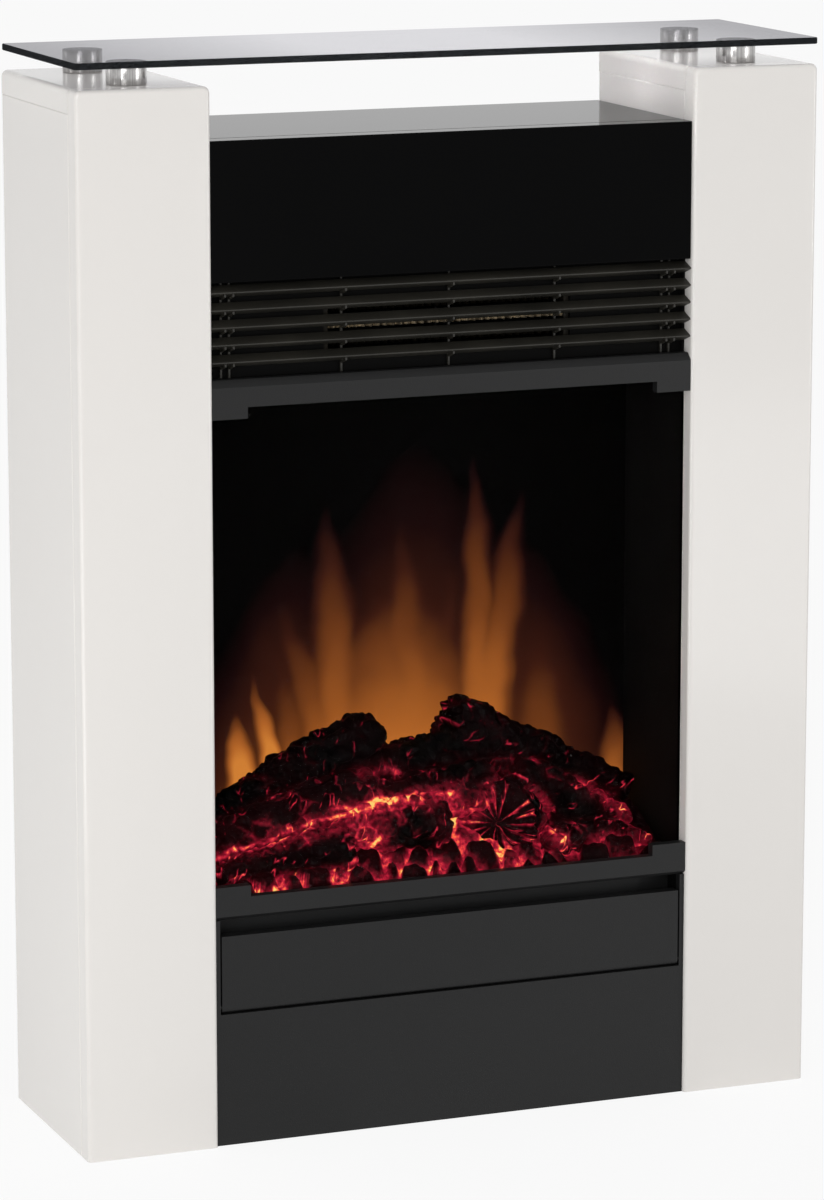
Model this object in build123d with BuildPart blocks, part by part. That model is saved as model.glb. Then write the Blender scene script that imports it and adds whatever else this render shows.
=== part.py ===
from build123d import *
import math
import os

# Free-standing electric fireplace: two lacquered columns carry a glass shelf on steel spacers,
# with a black hood, a louvred fan heater, a flame window with a log bed and a control flap between them.
# The origin is on the floor under the middle of the shelf, +Z is up and the front faces -Y. Millimetres.
os.makedirs("parts", exist_ok=True)

# Columns of lacquered board
overall_width = 595.0
overall_depth = 180.0
column_width = 103.5
column_height = 806.0
board = 18.0
column_back = 6.0
corner_round = 5.0
front_round = 3.0
seam_round = 1.2

# Glass shelf and its steel spacers
shelf_thickness = 5.0
shelf_corner = 3.0
shelf_arris = 0.6
spacer_diameter = 30.0
spacer_height = 15.0
spacer_inset = 38.0
stud_diameter = 6.0
stud_length = 14.0

# Heights in the centre, floor to hood. The window takes what the other heights leave.
plinth_height = 103.0
flap_gap = 0.8
flap_height = 60.2
finger_gap = 12.8
lower_trim_height = 17.3
upper_trim_height = 20.3
grille_height = 72.5
hood_height = 105.0
hood_drop = 40.5

# Depths in the centre, measured back from the columns' front
centre_recess = 3.5
trim_recess = 1.8
trim_depth = 8.2
glass_thickness = 4.0
control_recess = 26.5
rear_recess = 2.0
hood_round = 1.0

# Sheet metal and fits
chassis_sheet = 2.0
panel_sheet = 1.5
rear_flange = 12.0
running_clearance = 0.05
loose_clearance = 0.2

# Window trims
trim_tab_width = 28.0
trim_tab_height = 8.6
trim_ledge = 2.0
trim_undercut = 4.0
trim_undercut_height = 3.0
trim_bevel = 5.2
glass_side_gap = 0.5

# Louvre grille
blade_count = 5
blade_rise = 4.5
blade_sheet = 1.2
blade_nose_round = 0.6
lowest_nose = 13.3
highest_nose_margin = 7.2
rib_spacing = 86.5
rib_thickness = 1.5
rib_depth = 4.0
rib_strip = 2.0
rib_end_inset = 15.5
rib_pair_gap = 6.5
finger_sheet = 2.0
finger_setback = 4.0

# Fan heater behind the grille
duct_width = 200.0
duct_height = 44.0
duct_rise = 33.0
element_setback = 1.0
element_depth = 9.0
element_border = 4.0
ribbon_count = 3
ribbon_pitch = 13.0
ribbon_height = 3.0
ribbon_thickness = 0.5
crimp_pitch = 6.0
crimp_depth = 5.0
rotor_radius = 20.0
rotor_setback = 42.0
rotor_end_gap = 3.0
rotor_disc = 1.5
rotor_blades = 16
rotor_blade_depth = 6.0
rotor_blade_sheet = 0.8
rotor_blade_pitch = 28.0
shaft_diameter = 6.0
scroll_wrap = 150.0
tongue_length = 17.0
blower_motor_radius = 14.0
blower_motor_length = 34.0
blower_stack_width = 42.0
blower_stack_length = 14.0
cutout_radius = 8.0
cutout_height = 9.0

# Flame screen, template and spindle
flame_space = 56.5
screen_thickness = 3.0
mask_gap = 4.0
mask_sheet = 0.8
mask_height = 230.0
tongue_count = 7
tongue_width = 34.0
tongue_tall = 180.0
tongue_short = 70.0
tongue_base = 24.0
tongue_spacing = 46.0
tongue_lean = 9.0
spindle_diameter = 5.0
spindle_rise = 40.0
spindle_end_gap = 3.0
vane_count = 9
vane_radius = 14.0
vane_width = 26.0
vane_sheet = 0.8
vane_turn = 40.0
vane_margin = 30.0
spindle_motor_radius = 14.0
spindle_motor_length = 18.0
spindle_seat = 9.0
bearing_thickness = 3.0
bearing_width = 16.0
bearing_foot = 12.0

# Light boards
light_board_sheet = 1.6
ember_board_width = 30.0
flame_board_width = 12.0
light_board_margin = 30.0
light_count = 10
light_width = 5.0
light_height = 1.6

# Ember bed and logs
bed_gap = 3.0
bed_wall = 3.0
bed_front_height = 18.0
bed_back_height = 64.0
bed_side_height = 40.0
bed_crown_half = 70.0
coal_rows = 2
coals_per_row = 14
coal_radius = 11.0
coal_heights = (8.0, 7.0, 6.0)
coal_sides = (5, 6, 7)
coal_turn = 40.0
coal_stagger = 0.5
coal_taper = 24.0
coal_sink = 2.0
coal_row_step = 20.0

# A log's skin: lobes round it, and rings along it, each a share of its length and of its radius
log_lobes = (1.0, 0.93, 1.05, 0.9, 1.03, 0.96, 1.07, 0.92)
broken_rings = ((0.0, 0.7), (0.08, 0.98), (0.5, 1.06), (0.92, 1.0), (1.0, 0.74))
sawn_rings = ((0.0, 1.0), (0.5, 1.06), (0.92, 1.0), (1.0, 0.74))

# Each end of a log: its place across, back from the bed's front and over the hearth, and its radius
cut_log_foot = (53.0, 23.0, 43.0, 34.0)
cut_log_tip = (76.0, 51.0, 48.0, 27.0)
centre_log_foot = (-80.0, 30.0, 46.0, 18.0)
centre_log_tip = (12.0, 30.0, 48.0, 23.0)
front_log_foot = (-183.0, 22.0, 23.0, 10.0)
front_log_tip = (-68.0, 24.0, 38.0, 20.0)
left_log_foot = (-183.0, 75.0, 48.0, 13.0)
left_log_tip = (-27.0, 75.0, 113.0, 23.0)
right_log_foot = (29.0, 75.0, 114.0, 25.0)
right_log_tip = (183.0, 75.0, 48.0, 12.0)
rear_log_foot = (-60.0, 75.0, 84.0, 19.0)
rear_log_tip = (86.0, 75.0, 80.0, 22.0)

# Branches moulded in one with the bed, given in the same way
left_branch_foot = (-183.0, 49.0, 34.0, 18.0)
left_branch_tip = (-38.0, 55.0, 71.0, 24.0)
middle_branch_foot = (-46.0, 51.0, 57.0, 22.0)
middle_branch_tip = (62.0, 51.0, 66.0, 24.0)
right_branch_foot = (70.0, 51.0, 76.0, 20.0)
right_branch_tip = (172.0, 47.0, 24.0, 15.0)
low_branch_foot = (86.0, 26.0, 26.0, 15.0)
low_branch_tip = (182.0, 24.0, 17.0, 11.0)

# Controls behind the flap
rocker_count = 3
rocker_pitch = 30.0
rocker_from_side = 92.0
rocker_width = 10.0
rocker_half_height = 7.6
rocker_crown = 6.0
rocker_shoulder = 4.5
rocker_root = 2.5
rocker_root_half = 3.5
rocker_pivot_setback = 2.0
rocker_pin_diameter = 2.0
rocker_tilt = 8.0
rocker_gap = 0.3
switch_wall = 1.5
switch_depth = 18.0
bezel_lip = 1.3
bezel_thickness = 2.0
knob_from_side = 42.0
knob_diameter = 20.0
knob_length = 13.0
knob_gap = 1.0
knob_grip_width = 5.0
knob_grip_height = 3.0
stem_diameter = 6.0
stem_length = 12.0
thermostat_width = 24.0
thermostat_depth = 16.0

# Flap and its hinge
jamb_width = 3.7
flap_side_gap = 1.3
flap_sheet = 2.0
flap_curl = 4.0
flap_flange = 10.0
pin_diameter = 3.0
pin_grip = 4.0
pin_end_gap = 0.3

# Screws and the cable gland
screw_diameter = 4.0
screw_head_diameter = 8.0
screw_head_height = 2.0
screw_head_sides = 6
screw_length = 13.0
pilot_spare = 1.0
screw_end_inset = 55.0
rear_screw_rows = 2
gland_from_side = 42.0
gland_rise = 40.0
gland_radius = 6.0
gland_flange_radius = 9.0
gland_flange_sides = 6
gland_bore_radius = 3.5
gland_length = 10.0
vent_rows = 5
vent_columns = 5
vent_length = 46.0
vent_width = 4.0
vent_row_pitch = 10.0
vent_column_pitch = 58.0

# Places worked out from the sizes above
half = overall_width / 2
front = -overall_depth / 2
back = overall_depth / 2
centre_half = half - column_width
inner_half = centre_half - chassis_sheet
side_front = front + board
side_depth = overall_depth - board
side_height = column_height - board
shelf_bottom = column_height + spacer_height

flap_bottom = plinth_height + flap_gap
flap_top = flap_bottom + flap_height
lower_trim_bottom = flap_top + finger_gap
lower_trim_top = lower_trim_bottom + lower_trim_height
hood_top_level = column_height - hood_drop
hood_bottom = hood_top_level - hood_height
upper_trim_top = hood_bottom - grille_height
upper_trim_bottom = upper_trim_top - upper_trim_height
hearth = lower_trim_bottom + trim_ledge
ceiling = upper_trim_top - trim_ledge

centre_front = front + centre_recess
trim_front = front + trim_recess
glass_front = trim_front + trim_depth
chassis_front = glass_front + glass_thickness
hood_back = centre_front + board
rear_panel_back = back - rear_recess
rear_panel_front = rear_panel_back - panel_sheet
flange_front = rear_panel_front - chassis_sheet
screen_front = flange_front - flame_space
screen_back = screen_front + screen_thickness
mask_front = screen_back + mask_gap
mask_back = mask_front + mask_sheet
panel_front = centre_front + control_recess
panel_back = panel_front + panel_sheet

# A box placed so is set by the middle of its width, its front face and its underside
FRONT_UNDER = (Align.CENTER, Align.MIN, Align.MIN)
SIDES = ((-1, "left"), (1, "right"))


def write(piece, node):
    piece.part.label = node
    export_step(piece.part, f"parts/{node}.step")


# Columns: a full front board, two side boards behind it, a cap over them and a thin back
screw_depth = (chassis_front + flange_front) / 2
screw_levels = (screw_end_inset, hood_bottom - screw_end_inset / 2)
spacer_rows = {"front": front + spacer_inset, "back": back - spacer_inset}
pilot_depth = screw_length - chassis_sheet + pilot_spare

for side, hand in SIDES:
    outermost = 0 if side < 0 else -1
    innermost = -1 - outermost
    column_x = side * (half - column_width / 2)

    with BuildPart() as front_board:
        with Locations((column_x, front, 0)):
            Box(column_width, board, column_height, align=FRONT_UNDER)
        fillet(front_board.edges().filter_by(Axis.Y).group_by(Axis.Z)[-1], corner_round)
        fillet(front_board.faces().sort_by(Axis.Y)[0].edges().sort_by(Axis.Z)[1:], front_round)
        fillet(front_board.faces().sort_by(Axis.Y)[-1].edges().sort_by(Axis.Z)[1:], seam_round)
    write(front_board, f"{hand}_front_board")

    with BuildPart() as outer_side:
        with Locations((side * (half - board / 2), side_front, 0)):
            Box(board, side_depth, side_height, align=FRONT_UNDER)
        outward = outer_side.faces().sort_by(Axis.X)[outermost]
        fillet(outward.edges().sort_by(Axis.Z)[1:], seam_round)
    write(outer_side, f"{hand}_outer_side")

    with BuildPart() as inner_side:
        with Locations((side * (centre_half + board / 2), side_front, 0)):
            Box(board, side_depth, side_height, align=FRONT_UNDER)
        inward = inner_side.faces().sort_by(Axis.X)[innermost]
        fillet(inward.edges().sort_by(Axis.Z)[1:], seam_round)
        with BuildSketch(Plane.YZ.offset(side * centre_half)):
            with Locations(*[(screw_depth, z) for z in screw_levels]):
                Circle(screw_diameter / 2 + running_clearance)
        extrude(amount=side * pilot_depth, mode=Mode.SUBTRACT)
    write(inner_side, f"{hand}_inner_side")

    with BuildPart() as cap:
        with Locations((column_x, side_front, side_height)):
            Box(column_width, side_depth, board, align=FRONT_UNDER)
        fillet(cap.edges().filter_by(Axis.Y).group_by(Axis.Z)[-1], corner_round)
        with Locations(*[(column_x, y, column_height) for y in spacer_rows.values()]):
            Hole(stud_diameter / 2 + running_clearance)
    write(cap, f"{hand}_cap")

    with BuildPart() as back_board:
        with Locations((column_x, back - column_back, 0)):
            Box(column_width - 2 * board, column_back, side_height, align=FRONT_UNDER)
    write(back_board, f"{hand}_back_board")

    # Turned spacers, each with a stud that goes down into the cap
    for row, spacer_y in spacer_rows.items():
        with BuildPart() as spacer:
            with BuildSketch(Plane.XY.offset(column_height)):
                with Locations((column_x, spacer_y)):
                    Circle(spacer_diameter / 2)
            extrude(amount=spacer_height)
            with BuildSketch(Plane.XY.offset(column_height)):
                with Locations((column_x, spacer_y)):
                    Circle(stud_diameter / 2)
            extrude(amount=-stud_length)
        write(spacer, f"{hand}_{row}_spacer")

# Toughened glass shelf with ground edges, bonded to the spacers
with BuildPart() as glass_shelf:
    with BuildSketch(Plane.XY.offset(shelf_bottom)):
        RectangleRounded(overall_width, overall_depth, shelf_corner)
    extrude(amount=shelf_thickness)
    chamfer(glass_shelf.faces().filter_by(Axis.Z).edges(), shelf_arris)
write(glass_shelf, "glass_shelf")

# Gloss hood between the columns: an upright front board with the top board behind it
with BuildPart() as hood_front:
    with Locations((0, centre_front, hood_bottom)):
        Box(2 * centre_half, board, hood_height, align=FRONT_UNDER)
    fillet(hood_front.faces().sort_by(Axis.Y)[0].edges(), hood_round)
    fillet(hood_front.faces().sort_by(Axis.Y)[-1].edges().sort_by(Axis.Z)[-1], hood_round)
write(hood_front, "hood_front")

with BuildPart() as hood_top:
    with Locations((0, hood_back, hood_top_level - board)):
        Box(2 * centre_half, back - hood_back, board, align=FRONT_UNDER)
    fillet(hood_top.faces().sort_by(Axis.Z)[-1].edges(), hood_round)
write(hood_top, "hood_top")

# Louvre grille: folded V blades, each slipped over a tooth and a finger of the upright ribs
nose_pitch = (grille_height - lowest_nose - highest_nose_margin) / (blade_count - 1)
noses = [upper_trim_top + lowest_nose + i * nose_pitch for i in range(blade_count)]
blade_slope = math.atan2(blade_rise, chassis_front - trim_front)
tooth_rise = blade_rise - blade_sheet / math.cos(blade_slope)
tooth_tip = trim_front + blade_sheet / math.sin(blade_slope)

with BuildPart() as louvre_blades:
    for nose in noses:
        with BuildSketch(Plane.YZ):
            with BuildLine():
                Polyline(
                    (chassis_front, nose + blade_rise),
                    (trim_front, nose),
                    (chassis_front, nose - blade_rise),
                    (chassis_front, nose - tooth_rise),
                    (tooth_tip, nose),
                    (chassis_front, nose + tooth_rise),
                    close=True,
                )
            make_face()
        extrude(amount=centre_half, both=True)
    fillet(louvre_blades.edges().filter_by(Axis.X).group_by(Axis.Y)[0], blade_nose_round)
write(louvre_blades, "louvre_blades")

rib_places = [place * rib_spacing for place in (-1, 0, 1)]
for side, hand in SIDES:
    pair_x = side * (centre_half - rib_end_inset)
    rib_places += [pair_x - rib_pair_gap / 2, pair_x + rib_pair_gap / 2]

rib_back = chassis_front + rib_depth
rib_front = rib_back - rib_strip
finger_tip = trim_front + finger_setback
finger_drop = finger_setback * math.tan(blade_slope)
teeth = []
for nose in noses:
    teeth += [
        (rib_front, nose - blade_rise - finger_sheet),
        (chassis_front, nose - blade_rise - finger_sheet),
        (finger_tip, nose - finger_drop - finger_sheet),
        (finger_tip, nose - finger_drop),
        (chassis_front, nose - blade_rise),
        (chassis_front, nose - tooth_rise),
        (tooth_tip, nose),
        (chassis_front, nose + tooth_rise),
        (rib_front, nose + tooth_rise),
    ]
with BuildPart() as grille_ribs:
    for rib_x in rib_places:
        with BuildSketch(Plane.YZ.offset(rib_x)):
            with BuildLine():
                Polyline(
                    (rib_back, upper_trim_top),
                    (rib_front, upper_trim_top),
                    *teeth,
                    (rib_front, hood_bottom),
                    (rib_back, hood_bottom),
                    close=True,
                )
            make_face()
        extrude(amount=rib_thickness / 2, both=True)
write(grille_ribs, "grille_ribs")

# Outlet panel behind the ribs, with the opening for the warm air
duct_level = upper_trim_top + duct_rise
outlet_back = rib_back + panel_sheet
with BuildPart() as outlet_panel:
    with Locations((0, rib_back, upper_trim_top)):
        Box(2 * inner_half, panel_sheet, grille_height, align=FRONT_UNDER)
    with BuildSketch(Plane.XZ.offset(-outlet_back)):
        with Locations((0, duct_level)):
            Rectangle(duct_width, duct_height)
    extrude(amount=panel_sheet, mode=Mode.SUBTRACT)
write(outlet_panel, "outlet_panel")

# Heating element: a mica frame with crimped resistance ribbons stretched across it
element_front = outlet_back + element_setback
element_width = duct_width - 2 * loose_clearance
element_height = duct_height - 2 * loose_clearance
ribbon_half = element_width / 2 - element_border
with BuildPart() as heater_frame:
    with BuildSketch(Plane.XZ.offset(-element_front - element_depth)):
        with Locations((0, duct_level)):
            Rectangle(element_width, element_height)
            Rectangle(2 * ribbon_half, element_height - 2 * element_border, mode=Mode.SUBTRACT)
    extrude(amount=element_depth)
write(heater_frame, "heater_frame")

crimp_count = 2 * round(ribbon_half / crimp_pitch) * 2
crimp_step = 2 * ribbon_half / crimp_count
crimp_front = element_front + (element_depth - crimp_depth) / 2
with BuildPart() as heating_ribbons:
    for i in range(ribbon_count):
        ribbon_level = duct_level + (i - (ribbon_count - 1) / 2) * ribbon_pitch
        with BuildSketch(Plane.XY.offset(ribbon_level - ribbon_height / 2)):
            with BuildLine():
                crimps = [
                    (-ribbon_half + k * crimp_step, crimp_front + (k % 2) * (crimp_depth - ribbon_thickness))
                    for k in range(crimp_count + 1)
                ]
                back_crimps = [(x, y + ribbon_thickness) for x, y in reversed(crimps)]
                Polyline(*crimps, *back_crimps, close=True)
            make_face()
        extrude(amount=ribbon_height)
write(heating_ribbons, "heating_ribbons")

# Cross-flow blower: a scroll casing with end plates, a vaned rotor and its motor
rotor_y = outlet_back + rotor_setback
scroll_inner = duct_height / 2
scroll_outer = scroll_inner + panel_sheet
casing_half = duct_width / 2 + panel_sheet
scroll_end = scroll_wrap - 90
with BuildPart() as blower_casing:
    with BuildSketch(Plane.YZ):
        with BuildLine():
            Line((outlet_back, duct_level - scroll_outer), (rotor_y, duct_level - scroll_outer))
            outside = CenterArc((rotor_y, duct_level), scroll_outer, -90, scroll_wrap)
            inside = CenterArc((rotor_y, duct_level), scroll_inner, scroll_end, -scroll_wrap)
            Line(outside @ 1, inside @ 0)
            Line(inside @ 1, (outlet_back, duct_level - scroll_inner))
            Line((outlet_back, duct_level - scroll_inner), (outlet_back, duct_level - scroll_outer))
        make_face()
        with Locations((outlet_back + tongue_length / 2, duct_level + scroll_inner + panel_sheet / 2)):
            Rectangle(tongue_length, panel_sheet)
    extrude(amount=casing_half, both=True)
    for side, hand in SIDES:
        with BuildSketch(Plane.YZ.offset(side * duct_width / 2)):
            with BuildLine():
                Line((rotor_y, duct_level - scroll_outer), (outlet_back, duct_level - scroll_outer))
                Line((outlet_back, duct_level - scroll_outer), (outlet_back, duct_level + scroll_outer))
                Line((outlet_back, duct_level + scroll_outer), (rotor_y, duct_level + scroll_outer))
                CenterArc((rotor_y, duct_level), scroll_outer, 90, -180)
            make_face()
            with Locations((rotor_y, duct_level)):
                Circle(shaft_diameter / 2 + running_clearance, mode=Mode.SUBTRACT)
        extrude(amount=side * panel_sheet)
write(blower_casing, "blower_casing")

rotor_half = duct_width / 2 - rotor_end_gap
motor_start = casing_half
shaft_right = motor_start + blower_motor_length / 2
with BuildPart() as blower_rotor:
    with BuildSketch(Plane.YZ.offset(-casing_half - rotor_end_gap)):
        with Locations((rotor_y, duct_level)):
            Circle(shaft_diameter / 2)
    extrude(amount=casing_half + rotor_end_gap + shaft_right)
    with BuildSketch(Plane.YZ):
        with Locations((rotor_y, duct_level)):
            with PolarLocations(rotor_radius - rotor_blade_depth / 2, rotor_blades):
                Rectangle(rotor_blade_depth, rotor_blade_sheet, rotation=rotor_blade_pitch)
    extrude(amount=rotor_half, both=True)
    for disc_x in (-rotor_half, -rotor_disc / 2, rotor_half - rotor_disc):
        with BuildSketch(Plane.YZ.offset(disc_x)):
            with Locations((rotor_y, duct_level)):
                RegularPolygon(rotor_radius, rotor_blades)
        extrude(amount=rotor_disc)
write(blower_rotor, "blower_rotor")

with BuildPart() as blower_motor:
    with BuildSketch(Plane.YZ.offset(motor_start)):
        with Locations((rotor_y, duct_level)):
            Circle(blower_motor_radius)
    extrude(amount=blower_motor_length)
    with BuildSketch(Plane.YZ.offset(motor_start + (blower_motor_length - blower_stack_length) / 2)):
        with Locations((rotor_y, duct_level)):
            Rectangle(blower_stack_width, blower_stack_width)
    extrude(amount=blower_stack_length)
    with BuildSketch(Plane.YZ.offset(motor_start)):
        with Locations((rotor_y, duct_level)):
            Circle(shaft_diameter / 2 + running_clearance)
    extrude(amount=blower_motor_length / 2 + rotor_end_gap, mode=Mode.SUBTRACT)
write(blower_motor, "blower_motor")

with BuildPart() as thermal_cutout:
    with BuildSketch(Plane.XY.offset(duct_level + scroll_outer)):
        with Locations((0, outlet_back + tongue_length / 2)):
            Circle(cutout_radius)
    extrude(amount=cutout_height)
write(thermal_cutout, "thermal_cutout")

# Window trims: bars with corner tabs that clip the glass, and a ledge each at the glass's edge
with BuildPart() as lower_trim:
    with BuildSketch(Plane.YZ):
        with BuildLine():
            Polyline(
                (trim_front, lower_trim_top),
                (trim_front, lower_trim_bottom + trim_undercut_height),
                (trim_front + trim_undercut, lower_trim_bottom),
                (chassis_front, lower_trim_bottom),
                (chassis_front, hearth),
                (glass_front, hearth),
                (glass_front, lower_trim_top),
                close=True,
            )
        make_face()
    extrude(amount=centre_half, both=True)
    for side, hand in SIDES:
        with Locations((side * (centre_half - trim_tab_width / 2), trim_front, lower_trim_top)):
            Box(trim_tab_width, trim_depth, trim_tab_height, align=FRONT_UNDER)
write(lower_trim, "lower_trim")

with BuildPart() as upper_trim:
    with BuildSketch(Plane.YZ):
        with BuildLine():
            Polyline(
                (trim_front, upper_trim_bottom),
                (trim_front, upper_trim_top - trim_bevel),
                (trim_front + trim_bevel, upper_trim_top),
                (chassis_front, upper_trim_top),
                (chassis_front, ceiling),
                (glass_front, ceiling),
                (glass_front, upper_trim_bottom),
                close=True,
            )
        make_face()
    extrude(amount=centre_half, both=True)
    for side, hand in SIDES:
        tab_x = side * (centre_half - trim_tab_width / 2)
        with Locations((tab_x, trim_front, upper_trim_bottom - trim_tab_height)):
            Box(trim_tab_width, trim_depth, trim_tab_height, align=FRONT_UNDER)
write(upper_trim, "upper_trim")

with BuildPart() as front_glass:
    with Locations((0, glass_front, hearth + loose_clearance)):
        Box(
            2 * (centre_half - glass_side_gap),
            glass_thickness,
            ceiling - hearth - 2 * loose_clearance,
            align=FRONT_UNDER,
        )
write(front_glass, "front_glass")

# Chassis: folded side plates, the firebox floor and ceiling, and a vented rear panel
rear_screw_x = inner_half - rear_flange / 2
rear_screw_span = hood_bottom - 2 * screw_end_inset
rear_screw_levels = [
    screw_end_inset + i * rear_screw_span / (rear_screw_rows - 1) for i in range(rear_screw_rows)
]
for side, hand in SIDES:
    with BuildPart() as chassis_side:
        with Locations((side * (centre_half - chassis_sheet / 2), chassis_front, 0)):
            Box(chassis_sheet, rear_panel_front - chassis_front, hood_bottom, align=FRONT_UNDER)
        with Locations((side * (inner_half - rear_flange / 2), flange_front, 0)):
            Box(rear_flange, chassis_sheet, hood_bottom, align=FRONT_UNDER)
        with BuildSketch(Plane.YZ.offset(side * inner_half)):
            with Locations(*[(screw_depth, z) for z in screw_levels]):
                Circle(screw_diameter / 2 + loose_clearance)
        extrude(amount=side * chassis_sheet, mode=Mode.SUBTRACT)
        with BuildSketch(Plane.XZ.offset(-rear_panel_front)):
            with Locations(*[(side * rear_screw_x, z) for z in rear_screw_levels]):
                Circle(screw_diameter / 2 + running_clearance)
        extrude(amount=chassis_sheet, mode=Mode.SUBTRACT)
    write(chassis_side, f"chassis_{hand}")

with BuildPart() as firebox_floor:
    with Locations((0, chassis_front, lower_trim_bottom)):
        Box(2 * inner_half, flange_front - chassis_front, trim_ledge, align=FRONT_UNDER)
write(firebox_floor, "firebox_floor")

with BuildPart() as firebox_ceiling:
    with Locations((0, chassis_front, ceiling)):
        Box(2 * inner_half, flange_front - chassis_front, trim_ledge, align=FRONT_UNDER)
write(firebox_ceiling, "firebox_ceiling")

gland_x = inner_half - gland_from_side
with BuildPart() as rear_panel:
    with Locations((0, rear_panel_front, 0)):
        Box(2 * centre_half, panel_sheet, hood_top_level - board, align=FRONT_UNDER)
    with BuildSketch(Plane.XZ.offset(-rear_panel_back)):
        with Locations((0, duct_level)):
            with GridLocations(vent_column_pitch, vent_row_pitch, vent_columns, vent_rows):
                Rectangle(vent_length, vent_width)
        with Locations((gland_x, gland_rise)):
            Circle(gland_radius)
        with Locations(*[(side * rear_screw_x, z) for side, hand in SIDES for z in rear_screw_levels]):
            Circle(screw_diameter / 2 + loose_clearance)
    extrude(amount=panel_sheet, mode=Mode.SUBTRACT)
write(rear_panel, "rear_panel")

with BuildPart() as cable_gland:
    with BuildSketch(Plane.XZ.offset(-rear_panel_back)):
        with Locations((gland_x, gland_rise)):
            Circle(gland_radius - running_clearance)
    extrude(amount=gland_length)
    with BuildSketch(Plane.XZ.offset(-rear_panel_back)):
        with Locations((gland_x, gland_rise)):
            RegularPolygon(gland_flange_radius, gland_flange_sides)
    extrude(amount=-rear_recess)
    with BuildSketch(Plane.XZ.offset(-back)):
        with Locations((gland_x, gland_rise)):
            Circle(gland_bore_radius)
    extrude(amount=gland_length + rear_recess, mode=Mode.SUBTRACT)
write(cable_gland, "cable_gland")

# Hexagon-head screws of one pattern: two a side into the columns, and a row up each edge of the rear panel
with BuildPart() as assembly_screws:
    for side, hand in SIDES:
        with BuildSketch(Plane.YZ.offset(side * inner_half)):
            with Locations(*[(screw_depth, z) for z in screw_levels]):
                Circle(screw_diameter / 2)
        extrude(amount=side * screw_length)
        with BuildSketch(Plane.YZ.offset(side * inner_half)):
            with Locations(*[(screw_depth, z) for z in screw_levels]):
                RegularPolygon(screw_head_diameter / 2, screw_head_sides)
        extrude(amount=-side * screw_head_height)
        with BuildSketch(Plane.XZ.offset(-rear_panel_back)):
            with Locations(*[(side * rear_screw_x, z) for z in rear_screw_levels]):
                Circle(screw_diameter / 2)
        extrude(amount=screw_length)
        with BuildSketch(Plane.XZ.offset(-rear_panel_back)):
            with Locations(*[(side * rear_screw_x, z) for z in rear_screw_levels]):
                RegularPolygon(screw_head_diameter / 2, screw_head_sides)
        extrude(amount=-screw_head_height)
write(assembly_screws, "assembly_screws")

# Flame screen, the template with flame-shaped openings behind it, and the turning spindle
with BuildPart() as flame_screen:
    with Locations((0, screen_front, hearth)):
        Box(2 * inner_half, screen_thickness, ceiling - hearth, align=FRONT_UNDER)
write(flame_screen, "flame_screen")

with BuildPart() as flame_mask:
    with Locations((0, mask_front, hearth)):
        Box(2 * (inner_half - loose_clearance), mask_sheet, mask_height, align=FRONT_UNDER)
    for i in range(tongue_count):
        place = i - (tongue_count - 1) / 2
        fullness = math.cos(math.pi * place / (tongue_count + 1))
        tongue_x = place * tongue_spacing
        tip_x = tongue_x + (tongue_lean if i % 2 else -tongue_lean)
        tip_z = hearth + tongue_base + tongue_short + (tongue_tall - tongue_short) * fullness
        belly_z = hearth + tongue_base + (tip_z - hearth - tongue_base) / 3
        with BuildSketch(Plane.XZ.offset(-mask_back)):
            with BuildLine():
                foot = Line(
                    (tongue_x + tongue_width / 3, hearth + tongue_base),
                    (tongue_x - tongue_width / 3, hearth + tongue_base),
                )
                left_edge = ThreePointArc(foot @ 1, (tongue_x - tongue_width / 2, belly_z), (tip_x, tip_z))
                ThreePointArc(left_edge @ 1, (tongue_x + tongue_width / 2, belly_z), foot @ 0)
            make_face()
        extrude(amount=mask_sheet, mode=Mode.SUBTRACT)
write(flame_mask, "flame_mask")

spindle_y = (mask_back + flange_front) / 2
spindle_z = hearth + spindle_rise
bearing_x = -inner_half + spindle_end_gap
motor_face = inner_half - spindle_motor_length
with BuildPart() as flame_spindle:
    with BuildSketch(Plane.YZ.offset(bearing_x)):
        with Locations((spindle_y, spindle_z)):
            Circle(spindle_diameter / 2)
    extrude(amount=motor_face + spindle_seat - bearing_x)
    vane_start = bearing_x + vane_margin
    vane_step = (motor_face - vane_margin - vane_start) / (vane_count - 1)
    for i in range(vane_count):
        turn = math.radians(vane_turn * i)
        vane_plane = Plane(
            origin=(vane_start + i * vane_step, spindle_y, spindle_z),
            x_dir=(1, 0, 0),
            z_dir=(0, math.cos(turn), math.sin(turn)),
        )
        with BuildSketch(vane_plane):
            Rectangle(vane_width, 2 * vane_radius)
        extrude(amount=vane_sheet / 2, both=True)
write(flame_spindle, "flame_spindle")

bearing_face = bearing_x + spindle_end_gap
bearing_front = spindle_y - bearing_width / 2
with BuildPart() as spindle_bearing:
    with Locations((bearing_face + bearing_thickness / 2, bearing_front, hearth)):
        Box(bearing_thickness, bearing_width, spindle_rise, align=FRONT_UNDER)
    with Locations((bearing_face + bearing_foot / 2, bearing_front, hearth)):
        Box(bearing_foot, bearing_width, bearing_thickness, align=FRONT_UNDER)
    with BuildSketch(Plane.YZ.offset(bearing_face)):
        with Locations((spindle_y, spindle_z)):
            Circle(bearing_width / 2)
    extrude(amount=bearing_thickness)
    with BuildSketch(Plane.YZ.offset(bearing_face)):
        with Locations((spindle_y, spindle_z)):
            Circle(spindle_diameter / 2 + running_clearance)
    extrude(amount=bearing_thickness, mode=Mode.SUBTRACT)
write(spindle_bearing, "spindle_bearing")

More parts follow.
